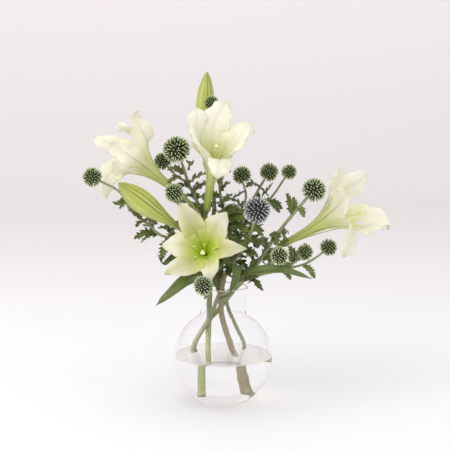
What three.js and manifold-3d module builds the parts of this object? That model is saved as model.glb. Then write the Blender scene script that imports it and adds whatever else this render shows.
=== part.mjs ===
// Lilies and globe thistles standing in a round glass vase of water.
// Millimetres, +Z up. The origin is the centre of the vase's flat base, +X is to the right of the
// bouquet's front, and the front faces -Y.
import * as THREE from "three";
import { mergeVertices } from "three/addons/utils/BufferGeometryUtils.js";
import Module from "manifold-3d";

const wasm = await Module();
wasm.setup();

// ---------------------------------------------------------------- driving dimensions
const SEAT_GAP = 0.3; // left between touching pieces

const VASE = {
  bowlRadius: 70,
  bowlHeight: 63, // of the bowl's centre
  neckRadius: 32,
  rimRadius: 35,
  rimHeight: 166,
  wall: 2.3,
  floor: 6,
  floorRadius: 28, // of the flat inner floor
  neckFlare: 3, // how much wider the neck is where it leaves the bowl
  neckFillet: 8, // the height in which it narrows
  throatStep: 0.8, // how much wider it is again under the rim
  lipHeight: 16, // the height over which the rim flares
  lipRound: 1,
  sides: 28,
  arcStep: 12, // degrees of the bowl's arc to each facet
};
const WATER_LEVEL = 66.5;

const TEPAL_THICKNESS = 1;
const TEPAL_WHORL_STEP = 0.9; // the outer three stand this much outside the inner three
const TEPAL_BASE_RADIUS = 4.7;
const TEPAL_FLARE_POWER = 3.1; // of the trumpet's radius against its height
const TEPAL_SECTOR = 0.48; // half of a sixth of a turn, less a gap, in radians
const TEPAL_STATIONS = [0, 0.2, 0.4, 0.56, 0.7, 0.82, 0.92, 1];
const TEPAL_COLUMNS = [-1, -0.4, 0.4, 1];
// Share of a tepal's length, share of its half width.
const TEPAL_OUTLINE = [
  [0, 0.2], [0.12, 0.26], [0.35, 0.42], [0.55, 0.74], [0.68, 0.95], [0.78, 1], [0.88, 0.8],
  [0.95, 0.44], [1, 0.03],
];
const OUTER_TEPAL_WIDTH = 0.78; // of an inner one's
const TEPAL_HOLD = 0.45; // length of the Bezier curve's handles, as a share of its span
const TEPAL_CUP = 0.012; // curvature across the free part of a tepal
const TEPAL_OPENS = [0.5, 0.85]; // shares of the length between which the curl of the trumpet ends
const TEPAL_SWERVES = [0.6, 1]; // and between which it turns to its tip
const PROFILE_STEPS = 60;

// Each flower: its base, the way it faces, its mouth's height above the base and radius, its
// tepals' half width, and its stigma. Each tepal: whorl, place round the base in degrees, tip,
// the tip's lean away from the axis in degrees, and its width.
const FLOWERS = {
  front: {
    base: [-24, 20, 204.4],
    facing: [-0.04, -0.95, 0.31],
    mouth: [90, 26],
    halfWidth: 20,
    stigma: [-27, -86, 228],
    tepals: [
      { whorl: "outer", place: 116, tip: [-59, -56, 291], lean: 125, width: 1 },
      { whorl: "inner", place: 56, tip: [5, -74, 281], lean: 85, width: 0.85 },
      { whorl: "outer", place: -4, tip: [31, -79, 232], lean: 100, width: 0.95 },
      { whorl: "inner", place: -64, tip: [-19, -79, 184], lean: 150, width: 0.8 },
      { whorl: "outer", place: -124, tip: [-77, -90, 200], lean: 95, width: 1 },
      { whorl: "inner", place: 176, tip: [-83, -61, 233], lean: 125, width: 0.85 },
    ],
  },
  left: {
    base: [-58, -12, 296],
    facing: [-0.76, -0.22, 0.65],
    mouth: [88, 29],
    halfWidth: 20,
    stigma: [-142, -38, 364],
    tepals: [
      { whorl: "inner", place: 55, tip: [-113, -48, 415], lean: 110, width: 0.9 },
      { whorl: "outer", place: -5, tip: [-148, -72, 373], lean: 85, width: 1 },
      { whorl: "outer", place: 115, tip: [-144, -15, 399], lean: 80, width: 0.9 },
      { whorl: "outer", place: -125, tip: [-160, -25, 294], lean: 150, width: 1 },
      { whorl: "inner", place: 175, tip: [-180, 15, 368], lean: 130, width: 0.75 },
      { whorl: "inner", place: -65, tip: [-148, -55, 345], lean: 70, width: 0.7 },
    ],
  },
  top: {
    base: [-23, 10, 276],
    facing: [0.13, -0.52, 0.86],
    mouth: [98, 21],
    halfWidth: 21,
    stigma: [-9, -46, 366],
    tepals: [
      { whorl: "inner", place: 90, tip: [6, 2, 427], lean: 60, width: 0.8 },
      { whorl: "outer", place: 150, tip: [-37, -18, 417], lean: 95, width: 0.78 },
      { whorl: "inner", place: 210, tip: [-47, -60, 394], lean: 130, width: 0.85 },
      { whorl: "outer", place: 270, tip: [-7, -100, 328], lean: 170, width: 1 },
      { whorl: "inner", place: 330, tip: [42, -65, 387], lean: 115, width: 0.85 },
      { whorl: "outer", place: 30, tip: [40, -20, 395], lean: 100, width: 0.9 },
    ],
  },
  right: {
    base: [91, 15, 226],
    facing: [0.84, -0.17, 0.52],
    mouth: [90, 29],
    halfWidth: 20,
    stigma: [192, -8, 272],
    tepals: [
      { whorl: "outer", place: 100, tip: [159, -12, 334], lean: 95, width: 1 },
      { whorl: "inner", place: 40, tip: [207, 42, 321], lean: 60, width: 0.85 },
      { whorl: "outer", place: -20, tip: [235, 30, 243], lean: 150, width: 0.9 },
      { whorl: "inner", place: 160, tip: [168, -60, 305], lean: 45, width: 0.9 },
      { whorl: "outer", place: -140, tip: [163, -52, 216], lean: 150, width: 1 },
      { whorl: "inner", place: -80, tip: [225, -8, 246], lean: 120, width: 0.75 },
    ],
  },
};

// Closed buds: base, tip and greatest radius.
const BUDS = {
  top: { base: [-26, 52, 352], tip: [-23, 52, 467], radius: 12.5 },
  left: { base: [-65, -45, 259], tip: [-139, -75, 320], radius: 15 },
};
const BUD_OUTLINE = [
  [0, 0], [0, 0.28], [0.12, 0.43], [0.3, 0.7], [0.5, 0.96], [0.62, 1], [0.76, 0.86], [0.9, 0.5],
  [0.97, 0.22], [1, 0],
];

// Stems: routes are points chosen by hand, with the radius at each end. "to" names the flower or
// bud that a branch ends under, or the number of the thistle head that it carries.
const LILY_STEMS = {
  main: [
    {
      route: [
        [-21, 9.5, 21], [-21.8, 15, 66], [-20.5, 16, 120], [-19.5, 15, 150], [-19, 17, 170],
        [-15, 24, 200], [-14, 28, 224], [-18, 27, 240],
      ],
      radius: [3.9, 3.6],
    },
    { route: [[-18.7, 17.5, 172], [-26, 34, 184], [-26, 42, 194]], radius: [3, 2.8], to: "front" },
    { route: [[-18, 27, 240], [-33, 7, 264]], radius: [3.2, 2.8], to: "left" },
    { route: [[-18, 27, 240], [-23, 24, 252]], radius: [3.4, 2.8], to: "top" },
    { route: [[-18, 27, 238], [-13, 46, 280], [-22, 54, 320]], radius: [3.2, 2.8], to: "bud_top" },
    { route: [[-18, 27, 236], [-36, 2, 240]], radius: [3.2, 2.8], to: "bud_left" },
  ],
  right: [
    {
      route: [
        [-41, 41.5, 45], [-43.5, 43, 66.5], [-20, 27, 112], [-13, 22, 120], [-5, 16, 131], [4, 14, 143],
        [20, 14, 166], [42, 9, 194], [62, 13, 210],
      ],
      radius: [3.8, 3],
      to: "right",
    },
  ],
};

const RECEPTACLE = { length: 6, flowerRadius: 5.6, budRadius: 4.6 };

const THISTLE_STEMS = {
  left: [
    {
      route: [
        [18.6, 37, 24], [12.7, 29, 66.5], [4, 15, 98], [-2, 4, 122], [-3, 2, 140], [-3, 3, 166],
        [-3, 16, 190], [-5, 34, 216], [-22, 40, 245], [-36, 14, 283], [-50, 0, 315],
      ],
      radius: [4.6, 2],
    },
    {
      route: [
        [-22, 40, 244], [-52, 20, 236], [-85, -20, 241], [-108, -26, 262], [-127, -30, 278],
        [-141, -34, 303],
      ],
      radius: [2, 1.5],
      to: 1,
    },
    { route: [[-49, 0, 313], [-55, -14, 336]], radius: [2, 1.7], to: 2 },
    { route: [[-49, 0, 313], [-66, 10, 322]], radius: [1.8, 1.4], to: 3 },
    { route: [[-24, 39, 248], [-44, -8, 257], [-57, -36, 280]], radius: [1.8, 1.5], to: 4 },
  ],
  centre: [
    {
      route: [
        [30, 53, 46], [31.5, 54, 66.5], [19.5, 38.5, 98], [9, 26, 124], [4, 21, 143], [-1, 15, 166],
        [8, 14, 190], [10, 14, 206], [8, 30, 236], [-4, 42, 290], [-6, 44, 330], [-10, 42, 375],
      ],
      radius: [2.8, 1.5],
      to: 5,
    },
    { route: [[8, 30, 236], [20, 24, 262], [32, 11, 290]], radius: [2, 1.5], to: 6 },
  ],
  right: [
    {
      route: [
        [-45.5, 34, 46], [-45, 35, 66.5], [-30, 14, 100], [-19, 4.4, 120], [-8, -5.5, 150],
        [-1.4, -12, 166], [3, -13, 184], [12, -6, 205], [22, 10, 225], [28, 26, 245], [36, 26, 262],
        [44, 24, 290],
      ],
      radius: [3.4, 2],
    },
    { route: [[43, 24, 288], [54, 21, 308]], radius: [1.8, 1.5], to: 7 },
    { route: [[38, 26, 268], [66, 32, 286]], radius: [1.8, 1.4], to: 8 },
    { route: [[8, -9.5, 196], [30, -10, 222], [38, -42, 248]], radius: [2.2, 1.8], to: 9 },
    {
      route: [
        [-9, -4.5, 147], [4, -10, 151], [22, -4, 168], [44, -6, 193], [62, -8, 221], [78, -9, 245],
        [96, -9, 268],
      ],
      radius: [2.9, 2],
      to: 10,
    },
    {
      route: [[-6, -7.5, 155], [6, -17, 161], [15, -19, 168], [24, -22, 176], [51, -38, 190]],
      radius: [2.6, 2],
      to: 11,
    },
    { route: [[50, -37.5, 189], [82, -32, 196], [98, -36, 206]], radius: [1.8, 1.5], to: 12 },
    { route: [[82, -32, 196], [112, -22, 201], [132, -18, 212]], radius: [1.7, 1.4], to: 13 },
  ],
  front: [
    {
      route: [[-21, 0.7, 112], [-20.5, -16.5, 145], [-20.3, -21.2, 166], [-21, -42, 181], [-22, -75, 183]],
      radius: [2.5, 1.8],
      to: 14,
    },
  ],
};

// Thistle heads in order of their numbers: centre and the radius over the spikes.
const HEADS = [
  [[-177, -45, 325], 13.5],
  [[-64, -25, 361], 19],
  [[-85, 15, 342], 12.7],
  [[-66, -50, 304], 13.4],
  [[-16, 18, 423], 11.3],
  [[26, 5, 323], 13.3],
  [[65, 20, 326], 13.4],
  [[94, 35, 325], 11.4],
  [[46, -55, 281], 18.6],
  [[126, -10, 304], 17.2],
  [[76, -65, 220], 12.6],
  [[112, -40, 221], 11.8],
  [[147, -15, 224], 12.4],
  [[-26, -98, 185.5], 13.6],
];
const HEAD_CORE = 0.7; // of the radius over the spikes
const HEAD_BARE = 0.72; // spikes nearer the stem than this cosine are missing

// Lily leaves: the midrib's points, the half width and how far up the sides fold.
const LILY_LEAVES = {
  low_left: {
    midrib: [
      [-19.7, 14.9, 177], [-33, -12, 184], [-44, -44, 189], [-55, -56, 185], [-68, -66, 174],
      [-91, -72, 154],
    ],
    halfWidth: 8,
    fold: 0.35,
    facing: [-0.1, -0.6, 1],
  },
  low_right: {
    midrib: [
      [18.5, 11.3, 170], [13, -6, 179.5], [18, -26, 186], [42, -52, 196], [80, -64, 200],
      [120, -72, 192],
    ],
    halfWidth: 6.5,
    fold: 0.25,
    facing: [0.1, -0.9, 0.7],
  },
  hanging: {
    midrib: [
      [25.1, 8.1, 177], [24, -8, 190], [21, -26, 199], [19, -42, 202], [16, -54, 184], [9, -56, 166],
    ],
    halfWidth: 6,
    fold: 0.7,
  },
  curled: {
    midrib: [[-26, 10, 199], [-66, -5, 210], [-76, -15, 205], [-83, -27, 202], [-91, -33, 218]],
    halfWidth: 4,
    fold: 0.4,
  },
  arching: {
    midrib: [[-14.9, 23.9, 240.8], [-6, 8, 260], [2, -2, 277], [15, -8, 283], [26, -14, 275]],
    halfWidth: 3.5,
    fold: 0.4,
  },
};
const LILY_LEAF_THICKNESS = 1.1;
const LILY_LEAF_ROWS = 9;
const LEAF_FACING = [0.2, -0.3, 1]; // the way that the upper faces of most leaves are turned

// Spiny leaves, each grown on its thistle stem: root, middle, tip and half width.
const SPINY_LEAVES = {
  left: [
    [[-110, -27, 263], [-122, -22, 252], [-129, -18, 236], 5],
    [[-128, -31, 280], [-137, -30, 279], [-148, -30, 284], 4],
    [[-52, -6, 324], [-46, -18, 327], [-43, -32, 325], 5],
    [[-37, 13, 284], [-42, -4, 296], [-44, -18, 306], 4],
  ],
  centre: [
    [[-3, 42, 286], [14, 24, 291], [34, 8, 298], 6],
    [[6, 30, 226], [16, 2, 240], [22, -24, 246], 8],
  ],
  right: [
    [[46, 24, 292], [57, 20, 292], [67, 14, 284], 4.5],
    [[37, 26, 264], [60, 18, 258], [76, 12, 252], 7],
    [[32, -16, 225], [44, -28, 232], [60, -40, 234], 7],
    [[95, -9, 267], [92, -14, 282], [88, -16, 301], 5],
    [[60, -8, 218], [70, -22, 224], [84, -32, 236], 6],
    [[112, -10, 286], [116, -18, 277], [120, -22, 268], 4],
  ],
};
const SPINY_OUTLINE = [0.3, 0.45, 1, 0.4, 0.95, 0.35, 0.75, 0.28, 0.5, 0.15]; // of the half width
const SPINY_LEAF_THICKNESS = 1.2;

const OVARY_LENGTH = 40;
// Share of a pistil's length, its radius there.
const PISTIL_OUTLINE = [[0, 2.4], [0.2, 2.6], [0.3, 1.2], [0.9, 1.2], [0.93, 3], [1, 2.6]];
const BUD_SIDES = 12;
const BUD_RIB = 0.05; // of the radius, out and in by turns
const SWEPT_RINGS_PER_POINT = 1.3;
const THICK_STEM = { radius: 2.3, sides: 7 }; // stems from this radius up
const THIN_STEM_SIDES = 5;

const FINISHES = {
  glass: { color: "#e8efec", roughness: 0.03, transparent: true, opacity: 0.3 },
  water: { color: "#eef6f4", roughness: 0.02, transparent: true, opacity: 0.4 },
  petal: { color: "#f2f0dc", roughness: 0.5 },
  pistil: { color: "#bccb62", roughness: 0.5 },
  bud: { color: "#b4c560", roughness: 0.5 },
  lilyStem: { color: "#8da24a", roughness: 0.5 },
  lilyLeaf: { color: "#6d8a3e", roughness: 0.5 },
  thistleStem: { color: "#7f8c5f", roughness: 0.7 },
  thistleHead: { color: "#70865a", roughness: 0.8 },
};

// ---------------------------------------------------------------- small helpers
const vector = (p) => new THREE.Vector3(...p);
const clamp01 = (x) => Math.min(1, Math.max(0, x));

// 0 up to a, 1 from b on, and a smooth step between them.
function ease(t, a, b) {
  const x = clamp01((t - a) / (b - a));
  return x * x * (3 - 2 * x);
}

// The value at t of straight lines through the pairs [t, value].
function along(pairs, t) {
  const last = pairs.findIndex(([at]) => at >= t && at > 0);
  const [t1, v1] = pairs[last];
  const [t0, v0] = pairs[last - 1];
  return v0 + ((v1 - v0) * (t - t0)) / (t1 - t0);
}

function geometryOf(positions, faces) {
  const geometry = new THREE.BufferGeometry();
  geometry.setAttribute("position", new THREE.Float32BufferAttribute(positions, 3));
  geometry.setIndex(faces);
  return geometry;
}

// Turns the faces round where the enclosed volume comes out negative.
function facingOut(geometry) {
  const p = geometry.attributes.position;
  const index = geometry.index.array;
  const [a, b, c] = [new THREE.Vector3(), new THREE.Vector3(), new THREE.Vector3()];
  let volume = 0;
  for (let i = 0; i < index.length; i += 3) {
    a.fromBufferAttribute(p, index[i]);
    b.fromBufferAttribute(p, index[i + 1]);
    c.fromBufferAttribute(p, index[i + 2]);
    volume += a.dot(b.cross(c));
  }
  if (volume < 0) {
    for (let i = 0; i < index.length; i += 3) [index[i], index[i + 1]] = [index[i + 1], index[i]];
  }
  return geometry;
}

function solidOf(geometry) {
  const bare = geometry.clone();
  for (const name of ["normal", "uv"]) bare.deleteAttribute(name);
  const merged = mergeVertices(bare, 1e-3);
  return new wasm.Manifold(
    new wasm.Mesh({
      numProp: 3,
      vertProperties: new Float32Array(merged.attributes.position.array),
      triVerts: new Uint32Array(merged.index.array),
    }),
  );
}

function geometryFrom(solid) {
  const mesh = solid.getMesh();
  return geometryOf(Array.from(mesh.vertProperties), Array.from(mesh.triVerts));
}

const joined = (geometries) => geometryFrom(geometries.map(solidOf).reduce((a, b) => a.add(b)));

// ---------------------------------------------------------------- swept and shell solids
// A closed rod along a smooth curve: rings of `sides` points at even steps, radiusAt(t) wide, and
// a flat cut at both ends.
function rod(points, radiusAt, rings, sides) {
  const curve = new THREE.CatmullRomCurve3(points.map(vector), false, "centripetal");
  const frames = curve.computeFrenetFrames(rings - 1, false);
  const positions = [];
  const faces = [];
  for (let i = 0; i < rings; i++) {
    const t = i / (rings - 1);
    const centre = curve.getPointAt(t);
    for (let j = 0; j < sides; j++) {
      const turn = (2 * Math.PI * j) / sides;
      const r = radiusAt(t);
      const point = centre
        .clone()
        .addScaledVector(frames.normals[i], r * Math.cos(turn))
        .addScaledVector(frames.binormals[i], r * Math.sin(turn));
      positions.push(...point);
    }
  }
  const start = rings * sides;
  positions.push(...curve.getPointAt(0), ...curve.getPointAt(1));
  for (let j = 0; j < sides; j++) {
    const k = (j + 1) % sides;
    faces.push(start, k, j);
    for (let i = 0; i < rings - 1; i++) {
      const a = i * sides;
      const b = a + sides;
      faces.push(a + j, a + k, b + j, a + k, b + k, b + j);
    }
    const end = (rings - 1) * sides;
    faces.push(start + 1, end + j, end + k);
  }
  return facingOut(geometryOf(positions, faces));
}

// A closed shell of even thickness round a grid of { p, n }, a point and its unit normal.
function shell(rows, thickness) {
  const count = rows[0].length;
  const positions = [];
  const faces = [];
  for (const side of [0.5, -0.5])
    for (const row of rows)
      for (const { p, n } of row) positions.push(...p.clone().addScaledVector(n, side * thickness));
  const under = rows.length * count;
  const quad = (a, b, c, d) => faces.push(a, b, c, a, c, d);
  for (let i = 0; i < rows.length - 1; i++) {
    const a = i * count;
    for (let j = 0; j < count - 1; j++) {
      quad(a + j, a + j + 1, a + j + 1 + count, a + j + count);
      quad(under + a + j, under + a + j + count, under + a + j + 1 + count, under + a + j + 1);
    }
    const edge = a + count - 1;
    quad(a, a + count, under + a + count, under + a);
    quad(edge + count, edge, under + edge, under + edge + count);
  }
  const end = (rows.length - 1) * count;
  for (let j = 0; j < count - 1; j++) {
    quad(j + 1, j, under + j, under + j + 1);
    quad(end + j, end + j + 1, under + end + j + 1, under + end + j);
  }
  return facingOut(geometryOf(positions, faces));
}

// A leaf along its midrib, halfWidthAt(t) to each side, its sides folded up by `fold` of their
// width.
function blade(midrib, halfWidthAt, fold, thickness, stations, facing = LEAF_FACING) {
  const curve = new THREE.CatmullRomCurve3(midrib.map(vector), false, "centripetal");
  const rows = [];
  for (let i = 0; i < stations; i++) {
    const t = i / (stations - 1);
    const middle = curve.getPointAt(t);
    const tangent = curve.getTangentAt(t);
    const across = tangent.clone().cross(vector(facing)).normalize();
    const up = across.clone().cross(tangent);
    rows.push(
      [-1, 0, 1].map((v) => {
        const side = v * halfWidthAt(t);
        const p = middle.clone().addScaledVector(across, side).addScaledVector(up, fold * Math.abs(side));
        return { p, n: up.clone().addScaledVector(across, -fold * v).normalize() };
      }),
    );
  }
  return shell(rows, thickness);
}

// ---------------------------------------------------------------- vase and water
// Points of the bowl's arc in the profile plane between two heights: both ends, and each whole
// step of its angle between them, so that the glass and the water bend at the same places.
function bowlPoints(radius, fromHeight, toHeight) {
  const angleAt = (height) => Math.asin((height - VASE.bowlHeight) / radius);
  const [from, to] = [fromHeight, toHeight].map(angleAt).sort((a, b) => a - b);
  const step = THREE.MathUtils.degToRad(VASE.arcStep);
  const angles = [from];
  for (let k = Math.ceil((from + step / 4) / step); k * step < to - step / 4; k++) angles.push(k * step);
  angles.push(to);
  if (fromHeight > toHeight) angles.reverse();
  return angles.map(
    (angle) => new THREE.Vector2(radius * Math.cos(angle), VASE.bowlHeight + radius * Math.sin(angle)),
  );
}

const heightWhere = (bowl, radius) => VASE.bowlHeight + Math.sqrt(bowl * bowl - radius * radius);

// LatheGeometry turns its profile about Y, so the finished solid is stood up along Z.
function turned(profile, sides) {
  const lathe = new THREE.LatheGeometry(profile, sides);
  lathe.rotateX(Math.PI / 2);
  for (const name of ["normal", "uv"]) lathe.deleteAttribute(name);
  const merged = mergeVertices(lathe, 1e-3);
  const index = Array.from(merged.index.array);
  const faces = [];
  for (let i = 0; i < index.length; i += 3) {
    const [a, b, c] = index.slice(i, i + 3);
    if (a !== b && b !== c && c !== a) faces.push(a, b, c);
  }
  return facingOut(geometryOf(Array.from(merged.attributes.position.array), faces));
}

function vaseGeometry() {
  const { bowlRadius, neckRadius, rimRadius, rimHeight, wall, floor } = VASE;
  const inner = bowlRadius - wall;
  const foot = heightWhere(bowlRadius, neckRadius + VASE.neckFlare);
  const innerFoot = heightWhere(inner, neckRadius - wall + VASE.neckFlare);
  // Radius and height of the neck's outer face from the bowl to the lip. Its inner face runs
  // beside it, one wall further in.
  const neck = [
    [neckRadius + VASE.neckFlare / 4, foot + VASE.neckFillet / 3],
    [neckRadius, foot + VASE.neckFillet],
    [neckRadius + VASE.throatStep, rimHeight - VASE.lipHeight],
    [rimRadius, rimHeight - VASE.lipRound],
  ];
  const profile = [
    new THREE.Vector2(0, 0),
    ...bowlPoints(bowlRadius, 0, foot),
    ...neck.map(([radius, height]) => new THREE.Vector2(radius, height)),
    new THREE.Vector2(rimRadius - wall / 2, rimHeight),
    ...neck.reverse().map(([radius, height]) => new THREE.Vector2(radius - wall, height)),
    ...bowlPoints(inner, innerFoot, floor + wall),
    new THREE.Vector2(VASE.floorRadius, floor),
    new THREE.Vector2(0, floor),
  ];
  return turned(profile, VASE.sides);
}

// The water fills the bowl up to its level, less a small gap at the glass and round each stem.
function waterGeometry(stemSleeves) {
  const radius = VASE.bowlRadius - VASE.wall - 2 * SEAT_GAP; // clear of the glass's flat facets
  const foot = VASE.floor + SEAT_GAP;
  const profile = [
    new THREE.Vector2(0, foot),
    new THREE.Vector2(VASE.floorRadius - SEAT_GAP, foot),
    ...bowlPoints(radius, foot + VASE.wall + 2 * SEAT_GAP, WATER_LEVEL),
    new THREE.Vector2(0, WATER_LEVEL),
  ];
  const body = solidOf(turned(profile, VASE.sides));
  return geometryFrom(stemSleeves.map(solidOf).reduce((water, sleeve) => water.subtract(sleeve), body));
}

// ---------------------------------------------------------------- flowers
// Three directions of a flower: two across its axis, the second as near up as can be, and the
// axis.
function frameOf(facing) {
  const w = vector(facing).normalize();
  const v = new THREE.Vector3(0, 0, 1);
  v.addScaledVector(w, -v.dot(w)).normalize();
  return { u: v.clone().cross(w), v, w };
}

// A tepal's midrib as radius, height and lean against its length: all six share the trumpet
// up to the mouth, and one Bezier curve leads each of them on to its own tip.
function midribProfile(flower, tepal) {
  const { u, v, w } = frameOf(flower.facing);
  const reach = vector(tepal.tip).sub(vector(flower.base));
  const [mouthHeight, mouthRadius] = flower.mouth;
  const growth = mouthRadius - TEPAL_BASE_RADIUS;
  const points = [];
  for (let i = 0; i <= PROFILE_STEPS; i++) {
    const s = i / PROFILE_STEPS;
    const radius = TEPAL_BASE_RADIUS + growth * s ** TEPAL_FLARE_POWER;
    points.push(new THREE.Vector2(radius, mouthHeight * s));
  }
  const mouth = points.at(-1);
  const tip = new THREE.Vector2(Math.hypot(reach.dot(u), reach.dot(v)), reach.dot(w));
  const hold = TEPAL_HOLD * tip.distanceTo(mouth);
  const lean = THREE.MathUtils.degToRad(tepal.lean);
  const leaving = new THREE.Vector2((growth * TEPAL_FLARE_POWER) / mouthHeight, 1).normalize();
  const arriving = new THREE.Vector2(Math.sin(lean), Math.cos(lean));
  const bend = new THREE.CubicBezierCurve(
    mouth,
    mouth.clone().addScaledVector(leaving, hold),
    tip.clone().addScaledVector(arriving, -hold),
    tip,
  );
  points.push(...bend.getPoints(PROFILE_STEPS).slice(1));
  const tipPlace = THREE.MathUtils.radToDeg(Math.atan2(reach.dot(v), reach.dot(u)));
  return { points, tipPlace };
}

// The point and direction at share t of a polyline's length.
function pointAlong(points, t) {
  const lengths = [0];
  for (let i = 1; i < points.length; i++) {
    lengths.push(lengths[i - 1] + points[i].distanceTo(points[i - 1]));
  }
  const target = t * lengths.at(-1);
  const i = Math.max(1, lengths.findIndex((length) => length >= target - 1e-9));
  const share = (target - lengths[i - 1]) / (lengths[i] - lengths[i - 1]);
  const direction = points[i].clone().sub(points[i - 1]).normalize();
  return { point: points[i - 1].clone().lerp(points[i], share), direction };
}

function tepalGeometry(flower, tepal) {
  const { u, v, w } = frameOf(flower.facing);
  const { points, tipPlace } = midribProfile(flower, tepal);
  const turnToTip = THREE.MathUtils.euclideanModulo(tipPlace - tepal.place + 180, 360) - 180;
  const outer = tepal.whorl === "outer";
  const width = flower.halfWidth * tepal.width * (outer ? OUTER_TEPAL_WIDTH : 1);
  const rows = TEPAL_STATIONS.map((t) => {
    const { point, direction } = pointAlong(points, t);
    const radius = point.x + (outer ? TEPAL_WHORL_STEP : 0);
    const place = THREE.MathUtils.degToRad(tepal.place + turnToTip * ease(t, ...TEPAL_SWERVES));
    const out = u.clone().multiplyScalar(Math.cos(place)).addScaledVector(v, Math.sin(place));
    const across = u.clone().multiplyScalar(-Math.sin(place)).addScaledVector(v, Math.cos(place));
    const inward = w.clone().multiplyScalar(direction.x).addScaledVector(out, -direction.y);
    const middle = vector(flower.base).addScaledVector(out, radius).addScaledVector(w, point.y);
    const half = Math.min(width * along(TEPAL_OUTLINE, t), TEPAL_SECTOR * radius);
    const opened = ease(t, ...TEPAL_OPENS);
    const curl = (1 - opened) / radius + TEPAL_CUP * opened;
    return TEPAL_COLUMNS.map((column) => {
      const turn = curl * half * column;
      const p = middle
        .clone()
        .addScaledVector(across, Math.sin(turn) / curl)
        .addScaledVector(inward, (1 - Math.cos(turn)) / curl);
      const n = inward.clone().multiplyScalar(Math.cos(turn)).addScaledVector(across, -Math.sin(turn));
      return { p, n };
    });
  });
  return shell(rows, TEPAL_THICKNESS);
}

// Ovary, style and stigma in one: it stands on the receptacle in the middle of the tepals.
function pistilGeometry(flower) {
  const { w } = frameOf(flower.facing);
  const foot = vector(flower.base);
  const ovaryTop = foot.clone().addScaledVector(w, OVARY_LENGTH);
  const route = [foot, ovaryTop, vector(flower.stigma)].map((p) => p.toArray());
  return rod(route, (t) => along(PISTIL_OUTLINE, t), 14, THIN_STEM_SIDES);
}

function budGeometry({ base, tip, radius }) {
  const [from, to] = [vector(base), vector(tip)];
  const sides = BUD_SIDES;
  const axis = new THREE.LineCurve3(from, to);
  const { u, v } = frameOf(axis.getTangent(0).toArray());
  const positions = [...from];
  const inner = BUD_OUTLINE.slice(1, -1);
  for (const [t, share] of inner)
    for (let j = 0; j < sides; j++) {
      const turn = (2 * Math.PI * j) / sides;
      const r = radius * share * (j % 2 ? 1 - BUD_RIB : 1 + BUD_RIB);
      const point = axis.getPoint(t).addScaledVector(u, r * Math.cos(turn));
      point.addScaledVector(v, r * Math.sin(turn));
      positions.push(...point);
    }
  positions.push(...to);
  const last = 1 + inner.length * sides;
  const faces = [];
  for (let j = 0; j < sides; j++) {
    const k = (j + 1) % sides;
    faces.push(0, 1 + k, 1 + j, last, last - sides + j, last - sides + k);
    for (let i = 0; i < inner.length - 1; i++) {
      const a = 1 + i * sides;
      const b = a + sides;
      faces.push(a + j, a + k, b + j, a + k, b + k, b + j);
    }
  }
  return facingOut(geometryOf(positions, faces));
}

// ---------------------------------------------------------------- thistle heads
// A ball of spikes: each face of an icosphere becomes a low pyramid, except near the stem.
function headGeometry([centre, radius], towardsStem) {
  const ball = new THREE.IcosahedronGeometry(radius * HEAD_CORE, 1).attributes.position;
  const positions = [];
  for (let i = 0; i < ball.count; i += 3) {
    const corners = [0, 1, 2].map((k) => new THREE.Vector3().fromBufferAttribute(ball, i + k));
    const middle = corners[0].clone().add(corners[1]).add(corners[2]).normalize();
    const bare = middle.dot(towardsStem) > HEAD_BARE;
    const apex = middle.multiplyScalar(bare ? radius * HEAD_CORE * 0.97 : radius);
    for (let k = 0; k < 3; k++) positions.push(...corners[k], ...corners[(k + 1) % 3], ...apex);
  }
  const loose = new THREE.BufferGeometry();
  loose.setAttribute("position", new THREE.Float32BufferAttribute(positions, 3));
  const merged = mergeVertices(loose, 1e-3);
  merged.translate(...centre);
  return facingOut(merged);
}

// ---------------------------------------------------------------- stems
// Where a branch ends, and the direction that it arrives in.
function seatOf(target, from) {
  if (typeof target === "number") {
    const [centre, radius] = HEADS[target - 1];
    const towards = vector(centre).sub(vector(from)).normalize();
    const end = vector(centre).addScaledVector(towards, -(radius * HEAD_CORE + SEAT_GAP));
    return { end, towards };
  }
  const bud = BUDS[target.replace("bud_", "")];
  const flower = target.startsWith("bud_") ? null : FLOWERS[target];
  const base = flower ? flower.base : bud.base;
  const facing = flower ? vector(flower.facing) : vector(bud.tip).sub(vector(bud.base));
  const towards = facing.normalize();
  return { end: vector(base).addScaledVector(towards, -2 * SEAT_GAP), towards };
}

// One branch as a tapered rod, `extra` larger all round. It comes up to a flower or a bud along
// that one's axis, and stops inside its receptacle.
function branchGeometry({ route, radius, to }, extra = 0) {
  const points = [...route];
  const backwards = vector(route[0]).sub(vector(route[1])).normalize();
  points[0] = vector(route[0]).addScaledVector(backwards, extra).toArray();
  if (typeof to === "number") points.push(seatOf(to, route.at(-1)).end.toArray());
  else if (to !== undefined) {
    const { end, towards } = seatOf(to);
    for (const back of [RECEPTACLE.length * 2.5, RECEPTACLE.length / 2])
      points.push(end.clone().addScaledVector(towards, -back).toArray());
  }
  const radiusAt = (t) => radius[0] + (radius[1] - radius[0]) * t + extra;
  const rings = Math.max(4, Math.round(points.length * SWEPT_RINGS_PER_POINT));
  return rod(points, radiusAt, rings, radius[0] > THICK_STEM.radius ? THICK_STEM.sides : THIN_STEM_SIDES);
}

// The widened top of a lily's pedicel, under its flower or bud.
function receptacleGeometry({ radius, to }) {
  const { end, towards } = seatOf(to);
  const foot = end.clone().addScaledVector(towards, -RECEPTACLE.length);
  const top = to.startsWith("bud_") ? RECEPTACLE.budRadius : RECEPTACLE.flowerRadius;
  return rod([foot.toArray(), end.toArray()], (t) => radius[1] + (top - radius[1]) * Math.sqrt(t), 3, 8);
}

// Share of a lily leaf's half width: a quarter at the root, the whole near the middle, and nothing
// at the tip.
const lilyLeafWidth = (t) => (0.25 + 0.75 * Math.sin(Math.PI * t ** 0.8)) * (1 - ease(t, 0.8, 1.05));

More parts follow.
